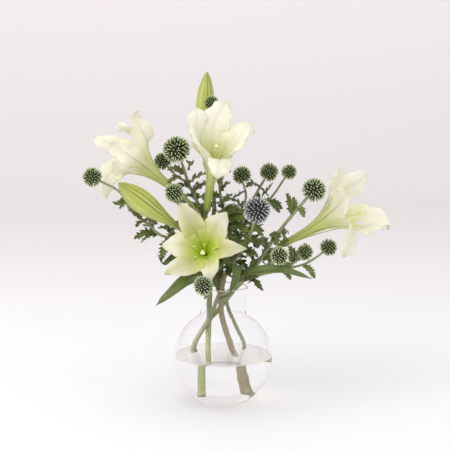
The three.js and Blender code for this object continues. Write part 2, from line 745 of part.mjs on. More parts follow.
function spinyLeafGeometry([root, middle, tip, halfWidth]) {
  const last = SPINY_OUTLINE.length - 1;
  const halfWidthAt = (t) => halfWidth * SPINY_OUTLINE[Math.round(t * last)];
  return blade([root, middle, tip], halfWidthAt, 0.3, SPINY_LEAF_THICKNESS, SPINY_OUTLINE.length);
}

// ---------------------------------------------------------------- the bouquet
const bouquet = new THREE.Group();

function addPiece(name, geometry, finish) {
  const mesh = new THREE.Mesh(geometry, new THREE.MeshStandardMaterial(FINISHES[finish]));
  mesh.name = name;
  bouquet.add(mesh);
}

addPiece("vase", vaseGeometry(), "glass");

const trunks = [...Object.values(LILY_STEMS), ...Object.values(THISTLE_STEMS)].map(([trunk]) => trunk);
addPiece("water", waterGeometry(trunks.map((trunk) => branchGeometry(trunk, SEAT_GAP))), "water");

for (const [name, flower] of Object.entries(FLOWERS)) {
  flower.tepals.forEach((tepal, i) => {
    addPiece(`flower_${name}_tepal_${i + 1}`, tepalGeometry(flower, tepal), "petal");
  });
  addPiece(`flower_${name}_pistil`, pistilGeometry(flower), "pistil");
}

for (const [name, bud] of Object.entries(BUDS)) addPiece(`bud_${name}`, budGeometry(bud), "bud");

for (const [name, branches] of Object.entries(LILY_STEMS)) {
  const rods = branches.map((branch) => branchGeometry(branch));
  const receptacles = branches.filter(({ to }) => to).map(receptacleGeometry);
  addPiece(`lily_stem_${name}`, joined([...rods, ...receptacles]), "lilyStem");
}

for (const [name, { midrib, halfWidth, fold, facing }] of Object.entries(LILY_LEAVES)) {
  const halfWidthAt = (t) => halfWidth * lilyLeafWidth(t);
  const geometry = blade(midrib, halfWidthAt, fold, LILY_LEAF_THICKNESS, LILY_LEAF_ROWS, facing);
  addPiece(`lily_leaf_${name}`, geometry, "lilyLeaf");
}

for (const [name, branches] of Object.entries(THISTLE_STEMS)) {
  const leaves = (SPINY_LEAVES[name] ?? []).map(spinyLeafGeometry);
  const rods = branches.map((branch) => branchGeometry(branch));
  addPiece(`thistle_stem_${name}`, joined([...rods, ...leaves]), "thistleStem");
}

for (const branch of Object.values(THISTLE_STEMS).flat()) {
  if (branch.to === undefined) continue;
  const { towards } = seatOf(branch.to, branch.route.at(-1));
  const number = String(branch.to).padStart(2, "0");
  addPiece(`thistle_head_${number}`, headGeometry(HEADS[branch.to - 1], towards.negate()), "thistleHead");
}

export default bouquet;
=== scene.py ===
"""Looks of lilies and globe thistles standing in a round glass vase of water.

Lengths are in millimetres up to the moment when a mesh is made. The frame is the CAD model's:
+Z up, the front towards -Y, the origin in the middle of the vase's underside.
"""
from math import atan2, cos, degrees, hypot, pi, radians, sin
from typing import NamedTuple

import bpy
import numpy as np
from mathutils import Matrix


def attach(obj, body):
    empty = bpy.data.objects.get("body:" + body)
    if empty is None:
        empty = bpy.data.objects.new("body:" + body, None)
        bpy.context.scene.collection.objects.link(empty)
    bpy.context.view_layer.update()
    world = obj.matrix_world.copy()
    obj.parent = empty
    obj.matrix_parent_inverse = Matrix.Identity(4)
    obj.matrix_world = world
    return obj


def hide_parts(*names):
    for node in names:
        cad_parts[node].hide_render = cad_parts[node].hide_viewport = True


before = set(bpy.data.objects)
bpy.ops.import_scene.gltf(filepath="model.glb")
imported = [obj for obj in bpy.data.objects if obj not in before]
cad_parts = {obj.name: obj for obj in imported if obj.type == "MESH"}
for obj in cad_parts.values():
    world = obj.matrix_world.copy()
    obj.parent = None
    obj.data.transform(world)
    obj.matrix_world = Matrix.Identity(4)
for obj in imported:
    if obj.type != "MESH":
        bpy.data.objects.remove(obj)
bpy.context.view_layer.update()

MM = 0.001

# ------------------------------------------------------------------ the vase and its water
BOWL_RADIUS = 70
BOWL_HEIGHT = 63  # of the bowl's centre
NECK_RADIUS = 32
RIM_RADIUS = 35
RIM_HEIGHT = 166
LIP_DEPTH = 1.2  # of the lip's centre below the rim
NECK_BEND = 8  # height of the curve from the bowl into the neck
WALL = 2.3
FLOOR = 6
FLOOR_RADIUS = 28  # of its flat middle
WATER_LEVEL = 66.5
WATER_IN_GLASS = 0.3  # how far the water's skin lies inside the wall, so that no air is between
MENISCUS = 1.3
TURNS = 144  # columns of faces round the vase

# ------------------------------------------------------------------ the flowers
TUBE_RADIUS = 3.6
TUBE_POWER = 3.1  # of the height, with which the trumpet widens
WHORL_STEP = 0.9  # from the inner three tepals out to the outer three
OUTER_WIDTH = 0.78  # of an outer tepal over an inner one
OPENING = (0.5, 0.85)  # shares of a tepal's length between which it leaves the trumpet
# Share of a tepal's length against share of its half width: its claw, then a pointed or a blunt end.
CLAW = ((0, 0.20), (0.12, 0.25), (0.35, 0.40), (0.55, 0.78))
POINTED = (*CLAW, (0.66, 1.0), (0.76, 0.94), (0.86, 0.68), (0.94, 0.36), (1, 0.03))
BLUNT = (*CLAW, (0.68, 1.0), (0.80, 1.0), (0.90, 0.84), (0.96, 0.56), (1, 0.06))
OUTLINES = {"front": POINTED, "left": POINTED, "top": BLUNT, "right": BLUNT}
FRILL = {"front": 0.0, "left": 0.8, "top": 1.0, "right": 1.0}  # how ragged the tepals' rims are


class Tepal(NamedTuple):
    """One of a lily's six. Its curve holds its direction for a share of the way past the mouth
    and for another before the tip, and its widest place moves early towards the base."""

    whorl: str
    place: float  # round the base, in degrees
    tip: tuple
    lean: float  # of the tip from the flower's axis, in degrees
    width: float = 1.0
    hold_mouth: float = 0.42
    hold_tip: float = 0.42
    early: float = 0.0
    twist: float = 0  # past the mouth, in degrees


# Each flower: base, facing, mouth's height and radius, half width of its tepals, stigma, tepals.
FLOWERS = {
    "front": ((-24, 20, 204.4), (-0.04, -0.95, 0.31), (90, 26), 20, (-27, -86, 228), (
        Tepal("outer", 116, (-59, -56, 291), 125, width=1.1, hold_mouth=0.5),
        Tepal("inner", 56, (5, -74, 281), 85),
        Tepal("outer", -4, (31, -79, 232), 100, width=0.95, early=0.06),
        Tepal("inner", -64, (-19, -79, 184), 150, width=0.8, hold_mouth=0.75, hold_tip=0.4, early=0.08),
        Tepal("outer", -124, (-77, -90, 200), 95, width=1.1),
        Tepal("inner", 176, (-83, -61, 233), 125, hold_mouth=0.6, hold_tip=0.5),
    )),
    "left": ((-58, -12, 296), (-0.76, -0.22, 0.65), (88, 29), 20, (-142, -38, 364), (
        Tepal("inner", 55, (-113, -48, 415), 110, twist=45),
        Tepal("outer", -5, (-148, -72, 373), 85),
        Tepal("outer", 115, (-144, -15, 399), 80, width=0.9),
        Tepal("outer", -125, (-160, -25, 294), 150, width=1.15, twist=60),
        Tepal("inner", 175, (-180, 15, 368), 130, width=0.75),
        Tepal("inner", -65, (-148, -60, 347), 70),
    )),
    "top": ((-23, 10, 276), (0.13, -0.52, 0.86), (98, 21), 21, (-9, -46, 366), (
        Tepal("inner", 90, (4, 2, 427), 60),
        Tepal("outer", 150, (-37, -18, 417), 95, width=1.1),
        Tepal("inner", 210, (-47, -60, 394), 130),
        Tepal("outer", 270, (-7, -100, 328), 170, width=1.05, early=0.04),
        Tepal("inner", 330, (42, -65, 387), 115),
        Tepal("outer", 30, (40, -20, 395), 100, width=1.1),
    )),
    "right": ((91, 15, 226), (0.84, -0.17, 0.52), (90, 29), 20, (192, -8, 272), (
        Tepal("outer", 100, (159, -12, 334), 95, twist=35),
        Tepal("inner", 40, (207, 42, 321), 60),
        Tepal("outer", -20, (235, 30, 243), 150, hold_mouth=0.7, hold_tip=0.5),
        Tepal("inner", 160, (168, -60, 305), 45),
        Tepal("outer", -140, (163, -52, 216), 150),
        Tepal("inner", -80, (225, -8, 246), 120),
    )),
}
SHADED_TEPALS = (1, 3, 5)  # of the front flower, which get a heavier olive painted shade
# Tones along the inner face of a tepal, from its foot to its tip.
LIME_THROAT = (
    (0.0, "#bcd808"), (0.40, "#c9e216"), (0.52, "#d6e844"), (0.62, "#e6ee86"), (0.74, "#f6f5c8"),
    (0.87, "#fefcf0"),
)
PALE_THROAT = (
    (0.0, "#cbdd44"), (0.32, "#dae66e"), (0.44, "#e7ed9c"), (0.54, "#f1f3c6"), (0.66, "#f9f8e0"),
    (0.82, "#fefdf7"),
)
FILAMENT_RADIUS = 0.8
FILAMENT_SPREAD = 11  # of the filaments' ends from the style
STIGMA_RADIUS = 3.4

# Closed buds: base, tip and greatest radius.
BUDS = {
    "top": ((-26, 52, 352), (-23, 52, 467), 12.5),
    "left": ((-65, -45, 259), (-139, -75, 320), 15),
}
BUD_OUTLINE = (
    (0, 0.27), (0.04, 0.34), (0.12, 0.43), (0.3, 0.7), (0.5, 0.96), (0.62, 1.0), (0.76, 0.86),
    (0.9, 0.5), (0.97, 0.22), (1, 0.02),
)

# ------------------------------------------------------------------ the stems
# Each branch: its route, its radius at both ends and what it carries: a flower, a bud, or a
# thistle head by its number.
LILY_STEMS = {
    "main": (
        (((-21, 9.5, 21), (-21.8, 15, 66), (-20.5, 16, 120), (-19.5, 15, 150), (-19, 17, 170),
          (-15, 24, 200), (-14, 28, 224), (-18, 27, 240)), (3.9, 3.6), None),
        (((-18.7, 17.5, 172), (-26, 34, 184), (-26, 42, 194)), (3, 2.8), "front"),
        (((-18, 27, 240), (-33, 7, 264)), (3.2, 2.8), "left"),
        (((-18, 27, 240), (-23, 24, 252)), (3.4, 2.8), "top"),
        (((-18, 27, 238), (-13, 46, 280), (-22, 54, 320)), (3.2, 2.8), "bud_top"),
        (((-18, 27, 236), (-36, 2, 240)), (3.2, 2.8), "bud_left"),
    ),
    "right": (
        (((-41, 41.5, 45), (-43.5, 43, 66.5), (-20, 27, 112), (-13, 22, 120), (-5, 16, 131),
          (4, 14, 143), (20, 14, 166), (42, 9, 194), (62, 13, 210)), (3.8, 3), "right"),
    ),
}
SCARS = (74, 92, 128, 150, 171, 196)  # places of stripped leaves along a lily stem
STUBS = (74, 92, 128, 171)
RECEPTACLE_LENGTH = 8.4
FLOWER_SEAT_RADIUS = 5.6
BUD_SEAT_RADIUS = 4.6

THISTLE_STEMS = {
    "left": (
        (((18.6, 37, 24), (12.7, 29, 66.5), (4, 15, 98), (-2, 4, 122), (-3, 2, 140), (-3, 3, 166),
          (-3, 16, 190), (-5, 34, 216), (-22, 40, 245), (-36, 14, 283), (-50, 0, 315)), (4.6, 2), None),
        (((-22, 40, 244), (-52, 20, 236), (-85, -20, 241), (-108, -26, 262), (-127, -30, 278),
          (-141, -34, 303)), (2, 1.5), 1),
        (((-49, 0, 313), (-55, -14, 336)), (2, 1.7), 2),
        (((-49, 0, 313), (-66, 10, 322)), (1.8, 1.4), 3),
        (((-24, 39, 248), (-44, -8, 257), (-57, -36, 280)), (1.8, 1.5), 4),
    ),
    "centre": (
        (((30, 53, 46), (31.5, 54, 66.5), (19.5, 38.5, 98), (9, 26, 124), (4, 21, 143), (-1, 15, 166),
          (8, 14, 190), (10, 14, 206), (8, 30, 236), (-4, 42, 290), (-6, 44, 330), (-10, 42, 375)),
         (2.8, 1.5), 5),
        (((8, 30, 236), (20, 24, 262), (32, 11, 290)), (2, 1.5), 6),
    ),
    "right": (
        (((-45.5, 34, 46), (-45, 35, 66.5), (-30, 14, 100), (-19, 4.4, 120), (-8, -5.5, 150),
          (-1.4, -12, 166), (3, -13, 184), (12, -6, 205), (22, 10, 225), (28, 26, 245), (36, 26, 262),
          (44, 24, 290)), (3.4, 2), None),
        (((43, 24, 288), (54, 21, 308)), (1.8, 1.5), 7),
        (((38, 26, 268), (66, 32, 286)), (1.8, 1.4), 8),
        (((8, -9.5, 196), (30, -10, 222), (38, -42, 248)), (2.2, 1.8), 9),
        (((-9, -4.5, 147), (4, -10, 151), (22, -4, 168), (44, -6, 193), (62, -8, 221), (78, -9, 245),
          (96, -9, 268)), (2.9, 2), 10),
        (((-6, -7.5, 155), (6, -17, 161), (15, -19, 168), (24, -22, 176), (51, -38, 190)), (2.6, 2), 11),
        (((50, -37.5, 189), (82, -32, 196), (98, -36, 206)), (1.8, 1.5), 12),
        (((82, -32, 196), (112, -22, 201), (132, -18, 212)), (1.7, 1.4), 13),
    ),
    "front": (
        (((-21, 0.7, 112), (-20.5, -16.5, 145), (-20.3, -21.2, 166), (-21, -42, 181), (-22, -75, 183)),
         (2.5, 1.8), 14),
    ),
}
WOODY = {"left": (0, 165), "right": (132, 205)}  # heights between which a stem is woody and brown

# Thistle heads in order of their numbers: centre, and the radius over the spikes.
HEADS = (
    ((-177, -45, 325), 13.5), ((-64, -25, 361), 19), ((-85, 15, 342), 12.7), ((-66, -50, 304), 13.4),
    ((-16, 18, 423), 11.3), ((26, 5, 323), 13.3), ((65, 20, 326), 13.4), ((94, 35, 325), 11.4),
    ((46, -55, 281), 18.6), ((126, -10, 304), 17.2), ((76, -65, 220), 12.6), ((112, -40, 221), 11.8),
    ((147, -15, 224), 12.4), ((-26, -98, 185.5), 13.6),
)
BLUE_HEADS = (9,)
YOUNG_HEADS = (1, 3, 5, 6, 7, 8, 12, 13)
KNOT_STEP = 23  # between the knots of a thistle stem
FEWEST_SPIKES = 20
SPIKES_PER_MM = 8.5  # of a head's radius
STEM_COSINE = 0.93  # spikes nearer the stem than this are missing

# ------------------------------------------------------------------ the leaves
# Lily leaves: midrib, half width, how far up the sides fold, and which way the upper face turns.
LEAF_FACING = (0.2, -0.3, 1)
LILY_LEAVES = {
    "low_left": (((-19.7, 14.9, 177), (-33, -12, 184), (-44, -44, 184), (-55, -56, 180), (-69, -66, 170),
                  (-91, -72, 153)), 9.5, 0.35, (-0.1, -0.6, 1)),
    "low_right": (((18.5, 11.3, 170), (13, -6, 179.5), (18, -26, 186), (42, -52, 197), (80, -64, 201),
                   (120, -72, 190)), 6.5, 0.25, (0.1, -0.9, 0.7)),
    "hanging": (((25.1, 8.1, 177), (24, -8, 190), (21, -26, 199), (19, -42, 202), (16, -54, 184),
                 (9, -56, 166)), 6, 0.7, LEAF_FACING),
    "curled": (((-26, 10, 199), (-66, -5, 210), (-76, -15, 205), (-83, -27, 202), (-91, -33, 218)),
               4, 0.4, LEAF_FACING),
    "arching": (((-14.9, 23.9, 240.8), (-6, 8, 260), (2, -2, 277), (15, -8, 283), (26, -14, 275)),
                3.5, 0.4, LEAF_FACING),
}

# Spiny leaves by the thistle stem that they grow on: root, middle, tip and half width.
SPINY_LEAVES = {
    "left": (
        ((-49, -8, 331), (-46, -16, 342), (-40, -24, 345), 4.5),
        ((-52, 0, 313), (-64, -14, 321), (-76, -26, 315), 5),
        ((-51, 2, 308), (-38, -6, 320), (-22, -14, 328), 6.5),
        ((-47, 14, 293), (-34, 4, 305), (-20, -4, 314), 6.5),
        ((-45, 10, 302), (-56, -4, 309), (-65, -16, 302), 6),
        ((-53, 26, 291), (-62, 8, 283), (-73, -8, 290), 6.5),
        ((-41, 38, 284), (-33, 20, 292), (-24, 6, 287), 7),
        ((-48, 42, 274), (-35, 26, 274), (-23, 10, 268), 8),
        ((-131, -30, 281), (-121, -30, 273), (-111, -34, 265), 5),
        ((-127, -29, 277), (-119, -20, 278), (-111, -12, 283), 4),
        ((-111, -24, 262), (-100, -34, 266), (-90, -42, 260), 5),
        ((-91, -18, 242), (-107, -24, 245), (-123, -28, 238), 6),
        ((-93, -16, 244), (-107, -8, 237), (-116, 0, 228), 4.5),
        ((-136, -33, 295), (-144, -36, 287), (-151, -40, 290), 3.5),
        ((-138, -33, 296), (-137, -36, 287), (-141, -40, 281), 3),
        ((-78, 2, 232), (-71, -14, 245), (-62, -26, 255), 5.5),
        ((-67, 14, 236), (-78, 4, 247), (-91, -8, 250), 5.5),
    ),
    "centre": (
        ((-10, 40, 280), (10, 16, 287), (32, -2, 302), 7.5),
        ((-13, 42, 285), (-22, 30, 300), (-29, 20, 315), 6.5),
        ((-6, 45, 307), (-2, 34, 316), (1, 26, 329), 4),
        ((-7, 38, 264), (12, 14, 273), (28, -4, 271), 8),
        ((-2, 24, 250), (14, 4, 263), (33, -14, 262), 9),
        ((-2, 20, 246), (18, -2, 251), (37, -20, 246), 9),
        ((-3, 14, 236), (12, -8, 236), (29, -22, 227), 9),
        ((-5, 6, 217), (7, -14, 226), (21, -30, 220), 8),
        ((-6, 0, 201), (3, -20, 210), (11, -34, 198), 7),
        ((-9, -4, 193), (-17, -22, 204), (-26, -36, 198), 6),
        ((-9, 38, 270), (-22, 22, 278), (-34, 10, 270), 8),
    ),
    "right": (
        ((49, 24, 306), (41, 16, 310), (32, 8, 306), 4.5),
        ((64, 30, 291), (55, 20, 301), (45, 12, 310), 5),
        ((55, 26, 291), (64, 20, 301), (70, 14, 311), 4.5),
        ((58, 28, 283), (69, 20, 282), (80, 14, 269), 5),
        ((44, 24, 286), (55, 14, 284), (67, 4, 290), 5),
        ((31, 20, 269), (45, 4, 268), (54, -10, 259), 8),
        ((29, 14, 256), (43, -4, 252), (54, -18, 240), 9),
        ((24, 10, 236), (38, -10, 236), (48, -24, 224), 9),
        ((21, 8, 222), (32, -14, 217), (46, -26, 214), 8),
        ((28, 20, 264), (18, 8, 271), (7, -4, 269), 7),
        ((10, -7, 203), (9, -14, 195), (8, -22, 185), 7),
        ((-2, -8, 208), (-11, -16, 195), (-14, -22, 170), 6),
        ((0, -8, 191), (-9, -16, 179), (-7, -20, 160), 5),
        ((24, -12, 220), (12, -22, 225), (1, -28, 229), 5),
        ((95, -9, 269), (92, -12, 282), (88, -16, 300), 6),
        ((95, -9, 270), (100, -4, 281), (98, 0, 293), 4.5),
        ((106, -10, 281), (109, -14, 276), (112, -20, 267), 4),
        ((78, -8, 245), (73, -18, 239), (75, -26, 228), 6.5),
        ((79, -8, 246), (85, -2, 237), (82, 6, 223), 6),
        ((63, -7, 223), (54, -18, 230), (45, -28, 228), 7),
        ((55, -6, 213), (66, 4, 217), (79, 12, 213), 6),
        ((54, -38, 193), (61, -44, 200), (53, -52, 210), 5.5),
        ((74, -33, 198), (84, -38, 204), (93, -44, 200), 5.5),
        ((92, -30, 206), (97, -24, 216), (92, -18, 226), 5.5),
        ((94, -28, 205), (102, -34, 212), (97, -40, 221), 4.5),
        ((28, -26, 177), (37, -34, 187), (48, -42, 186), 5.5),
        ((34, -30, 176), (43, -38, 181), (53, -46, 174), 4),
        ((43, -34, 181), (48, -40, 174), (55, -44, 168), 3),
        ((111, -24, 216), (118, -16, 220), (114, -10, 229), 4),
    ),
    "front": (
        ((-23, -46, 183), (-19, -54, 177), (-25, -62, 160), 3.5),
        ((-26, -60, 192), (-37, -58, 195), (-41, -54, 202), 5),
        ((-15, -40, 182), (-13, -44, 194), (-17, -48, 206), 6),
    ),
}

# More leaves grow all round the thistle stems above the vase, each a golden angle on from the last.
LEAF_START = 188  # the lowest height at which they grow
LEAF_STEPS = (8.5, 15)  # along a main stem and along a side branch
LEAF_LENGTHS = (38, 17)  # near the vase and at the ends of the branches
LEAF_SHAPE = 0.17  # half width over length
BRANCH_SHARE = 0.75  # of a side branch with leaves
GOLDEN_ANGLE = 2.4  # radians
LEAF_CLEARANCE = 3  # kept from the flowers and the heads

# ------------------------------------------------------------------ the photograph's view
CAMERA_PLACE = (0.002571, -1.485129, 0.455332)
CAMERA_PITCH = 7.8  # degrees down
CAMERA_LENS = 85


# ------------------------------------------------------------------ numbers
def unit(vectors):
    """Vectors divided by their own lengths."""
    vectors = np.asarray(vectors, float)
    return vectors / np.linalg.norm(vectors, axis=-1, keepdims=True)


def ease(t, start, end):
    """0 up to start, 1 from end on, and 3x^2 - 2x^3 of the way between them."""
    x = np.clip((np.asarray(t, float) - start) / (end - start), 0, 1)
    return x * x * (3 - 2 * x)


def bump(x, width):
    """Bell curve exp(-(x / width)^2)."""
    return np.exp(-((np.asarray(x) / width) ** 2))


def along(t, pairs):
    """Smooth curve through the pairs (t, value) that never overshoots them: cubic pieces whose
    slope at each pair is the harmonic mean of the slopes on both sides, or 0 at a turn."""
    at, value = np.array(pairs, float).T
    rise = np.diff(value) / np.diff(at)
    same = rise[:-1] * rise[1:] > 0
    inner = np.where(same, 2 * rise[:-1] * rise[1:] / np.where(same, rise[:-1] + rise[1:], 1), 0)
    slope = np.concatenate([rise[:1], inner, rise[-1:]])
    i = np.clip(np.searchsorted(at, t, side="right") - 1, 0, len(at) - 2)
    step = at[i + 1] - at[i]
    x = (t - at[i]) / step
    return (
        (2 * x**3 - 3 * x**2 + 1) * value[i]
        + (x**3 - 2 * x**2 + x) * step * slope[i]
        + (3 * x**2 - 2 * x**3) * value[i + 1]
        + (x**3 - x**2) * step * slope[i + 1]
    )


def length_along(path):
    """Distance along a path up to each of its points."""
    return np.concatenate([[0], np.cumsum(np.linalg.norm(np.diff(path, axis=0), axis=1))])


def smooth_path(points, count):
    """Points at even steps along the centripetal Catmull-Rom curve through the given ones, whose
    knots are spaced by the square root of the chords."""
    points = np.asarray(points, float)
    p = np.vstack([2 * points[0] - points[1], points, 2 * points[-1] - points[-2]])
    knot = np.concatenate([[0], np.cumsum(np.linalg.norm(np.diff(p, axis=0), axis=1) ** 0.5)])
    t = np.linspace(knot[1], knot[-2], 24 * len(points))
    i = np.clip(np.searchsorted(knot, t, side="right") - 1, 1, len(points) - 1)

    def between(a, b, start, end):
        share = ((t - knot[start]) / (knot[end] - knot[start]))[:, None]
        return a * (1 - share) + b * share

    first = between(p[i - 1], p[i], i - 1, i)
    second = between(p[i], p[i + 1], i, i + 1)
    third = between(p[i + 1], p[i + 2], i + 1, i + 2)
    left = between(first, second, i - 1, i + 1)
    right = between(second, third, i, i + 2)
    curve = between(left, right, i, i + 1)
    length = length_along(curve)
    even = np.linspace(0, length[-1], count)
    return np.stack([np.interp(even, length, curve[:, k]) for k in range(3)], axis=1)


# ------------------------------------------------------------------ meshes
class Shells:
    """Closed shells gathered into one mesh. Each point has a place: three numbers that say where
    on its shell it is, for the material to read."""

    def __init__(self):
        self.points, self.places, self.quads, self.triangles = [], [], [], []
        self.count = 0

    def add(self, points, places, quads, triangles=()):
        points = np.asarray(points, float).reshape(-1, 3)
        self.points.append(points)
        self.places.append(np.broadcast_to(np.asarray(places, float), points.shape))
        self.quads.append(np.asarray(quads, int).reshape(-1, 4) + self.count)
        self.triangles.append(np.asarray(triangles, int).reshape(-1, 3) + self.count)
        self.count += len(points)

    def piece(self, name, material, slot, *nodes):
        """Makes the object. It rides on the root and stands for the CAD nodes."""
        points = np.concatenate(self.points) * MM
        quads, triangles = np.concatenate(self.quads), np.concatenate(self.triangles)
        sizes = np.concatenate([np.full(len(quads), 4), np.full(len(triangles), 3)])
        corners = np.concatenate([quads.ravel(), triangles.ravel()])
        mesh = bpy.data.meshes.new(name)
        mesh.vertices.add(len(points))
        mesh.vertices.foreach_set("co", points.ravel())
        mesh.loops.add(len(corners))
        mesh.loops.foreach_set("vertex_index", corners)
        mesh.polygons.add(len(sizes))
        mesh.polygons.foreach_set("loop_start", np.concatenate([[0], np.cumsum(sizes)[:-1]]))
        mesh.update(calc_edges=True)
        mesh.shade_smooth()
        place = mesh.attributes.new("place", "FLOAT_VECTOR", "POINT")
        place.data.foreach_set("vector", np.concatenate(self.places).ravel())
        mesh.materials.append(material)
        made = bpy.data.objects.new(name, mesh)
        bpy.context.scene.collection.objects.link(made)
        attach(made, "root")
        if nodes:
            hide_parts(*nodes)
        return made


def ring_faces(rings, sides):
    """Quads between rings of points that follow one another, each ring closed on itself."""
    i, j = np.meshgrid(np.arange(rings - 1), np.arange(sides), indexing="ij")
    k = (j + 1) % sides
    low, high = i * sides, (i + 1) * sides
    return np.stack([low + j, low + k, high + k, high + j], -1).reshape(-1, 4)


def cap_faces(rings, sides):
    """Triangles from the first ring to a point numbered rings * sides, and from the last ring to
    the next point."""
    j = np.arange(sides)
    k = (j + 1) % sides
    start, last = np.full(sides, rings * sides), (rings - 1) * sides
    return np.concatenate([np.stack([start, k, j], 1), np.stack([start + 1, last + j, last + k], 1)])


def frames_of(path):
    """Two directions square to a path: its tangent crossed with the axis that it keeps furthest
    from, and the tangent crossed with that."""
    tangent = unit(np.gradient(path, axis=0))
    axis = np.eye(3)[np.argmin(np.abs(tangent).max(axis=0))]
    side = unit(np.cross(tangent, axis))
    return tangent, side, np.cross(tangent, side)


def ring_about(angle, side, other):
    """Directions at each angle about every point of a path: cos side + sin other."""
    return np.cos(angle)[:, None] * side[:, None] + np.sin(angle)[:, None] * other[:, None]


def add_rings(shells, path, skin, turn, third, third_ends):
    """Closed shell of rings of points, with the path's two ends as the poles. Place: share of the
    length, share of the turn, and a third number."""
    count, sides = skin.shape[:2]
    points = np.concatenate([skin.reshape(-1, 3), path[:1], path[-1:]])
    places = np.stack([
        np.append(np.repeat(np.linspace(0, 1, count), sides), [0, 1]),
        np.append(np.tile(turn, count), [0, 0]),
        np.append(np.broadcast_to(third, (count, sides)), third_ends),
    ], 1)
    shells.add(points, places, ring_faces(count, sides), cap_faces(count, sides))


def add_tube(shells, path, radius, sides=12, ribs=0, rib_depth=0.0, tint=0.0):
    """Tube: about each point of the path a ring of radius r (1 + depth cos(ribs angle)), flat at
    both ends. Place: share of the length, share of the turn, tint."""
    count = len(path)
    _, side, other = frames_of(path)
    turn = np.arange(sides) / sides
    angle = 2 * pi * turn
    reach = np.broadcast_to(radius, count)[:, None] * (1 + rib_depth * np.cos(ribs * angle))
    skin = path[:, None] + reach[..., None] * ring_about(angle, side, other)
    tints = np.broadcast_to(tint, count)
    add_rings(shells, path, skin, turn, tints[:, None], tints[[0, -1]])


def normals_of(grid, up):
    """Normals of a grid of points, each on the side that up points to."""
    normal = unit(np.cross(np.gradient(grid, axis=0), np.gradient(grid, axis=1)))
    return np.where(np.sum(normal * up[:, None], -1, keepdims=True) < 0, -normal, normal)


def add_sheet(shells, grid, normal, above, below, t, v):
    """Closed shell about a grid of points: one layer `above` along the normal, one `below`
    against it, and a rim. Place: t, v, and 1 on the upper layer or 0 on the lower."""
    rows, columns = grid.shape[:2]
    size = rows * columns
    index = np.arange(size).reshape(rows, columns)
    quads = np.stack([index[:-1, :-1], index[1:, :-1], index[1:, 1:], index[:-1, 1:]], -1).reshape(-1, 4)
    edge = np.concatenate([index[0, :-1], index[:-1, -1], index[-1, :0:-1], index[:0:-1, 0]])
    following = np.roll(edge, -1)
    rim = np.stack([edge, following, following + size, edge + size], -1)
    faces = np.concatenate([quads, quads[:, ::-1] + size, rim])
    facing = np.cross(np.diff(grid, axis=0)[:, :-1], np.diff(grid, axis=1)[:-1])
    if np.sum(facing * normal[:-1, :-1]) < 0:
        faces = faces[:, ::-1]
    layers = np.stack([grid + normal * above[..., None], grid - normal * below[..., None]])
    t, v = np.broadcast_arrays(t, v)
    places = np.stack([np.stack([t, v, np.full(t.shape, side)], -1) for side in (1.0, 0.0)])
    shells.add(layers, places.reshape(-1, 3), faces)


# ------------------------------------------------------------------ vase and water
def add_lathe(shells, profile):
    """Surface of revolution of a profile (radius, height) that starts and ends on the axis."""
    radius, height = np.array(profile[1:-1], float).T
    angle = 2 * pi * np.arange(TURNS) / TURNS
    rings = np.stack([
        radius[:, None] * np.cos(angle),
        radius[:, None] * np.sin(angle),
        np.repeat(height[:, None], TURNS, axis=1),
    ], -1)
    ends = [(0, 0, profile[0][1]), (0, 0, profile[-1][1])]
    points = np.concatenate([rings.reshape(-1, 3), ends])
    shells.add(points, 0.0, ring_faces(len(radius), TURNS), cap_faces(len(radius), TURNS))


def arc(radius, from_height, to_height, count):
    """Points of a circle about the bowl's centre between two heights."""
    angles = np.arcsin((np.array([from_height, to_height]) - BOWL_HEIGHT) / radius)
    turn = np.linspace(*angles, count)
    return np.stack([radius * np.cos(turn), BOWL_HEIGHT + radius * np.sin(turn)], 1)


def neck_line(foot_radius, foot_height, inset):
    """The neck's face from the bowl to the lip: a tight curve into the throat, then a slow flare."""
    pairs = (
        (foot_height, foot_radius), (foot_height + 2.7, NECK_RADIUS + 0.75 - inset),
        (foot_height + NECK_BEND, NECK_RADIUS - inset), (RIM_HEIGHT - 16, NECK_RADIUS + 0.8 - inset),
        (RIM_HEIGHT - LIP_DEPTH, RIM_RADIUS - inset),
    )
    height = np.concatenate([
        np.linspace(foot_height, foot_height + NECK_BEND, 9)[1:],
        np.linspace(foot_height + NECK_BEND, RIM_HEIGHT - LIP_DEPTH, 14)[1:],
    ])
    return np.stack([along(height, pairs), height], 1)


def look_apart(piece, material, measure, axis, least):
    """Gives a second material to the faces whose centre or normal passes a value on an axis."""
    mesh = piece.data
    mesh.materials.append(material)
    values = np.empty(3 * len(mesh.polygons))
    mesh.polygons.foreach_get(measure, values)
    mesh.polygons.foreach_set("material_index", (values[axis::3] > least).astype(int))


def make_vase(material, lip_highlight_material):
    """Glass: bowl, neck and a round lip outside, then the same inside, one wall in."""
    inner = BOWL_RADIUS - WALL
    foot_radius = NECK_RADIUS + 3
    foot = BOWL_HEIGHT + (BOWL_RADIUS**2 - foot_radius**2) ** 0.5
    inner_foot = BOWL_HEIGHT + (inner**2 - (foot_radius - WALL) ** 2) ** 0.5
    half_wall = WALL / 2
    lip_turn = np.linspace(0, pi, 9)[1:-1]
    lip = np.stack([
        RIM_RADIUS - half_wall + half_wall * np.cos(lip_turn),
        RIM_HEIGHT - LIP_DEPTH + half_wall * np.sin(lip_turn),
    ], 1)
    profile = np.concatenate([
        [(0, 0.6), (16, 0.5), (26, 0), (29.5, 0)],
        arc(BOWL_RADIUS, 0.35, foot, 56),
        neck_line(foot_radius, foot, 0),
        lip,
        neck_line(foot_radius - WALL, inner_foot, WALL)[::-1],
        arc(inner, inner_foot, FLOOR + 2, 52),
        [(34, 6.6), (FLOOR_RADIUS, 6.1), (14, FLOOR), (0, FLOOR)],
    ])
    shells = Shells()
    add_lathe(shells, profile)
    vase = shells.piece("vase_glass", material, "glass", "vase")
    # The lip's faces take the painted highlight.
    look_apart(vase, lip_highlight_material, "center", 2, (RIM_HEIGHT - 1.4) * MM)


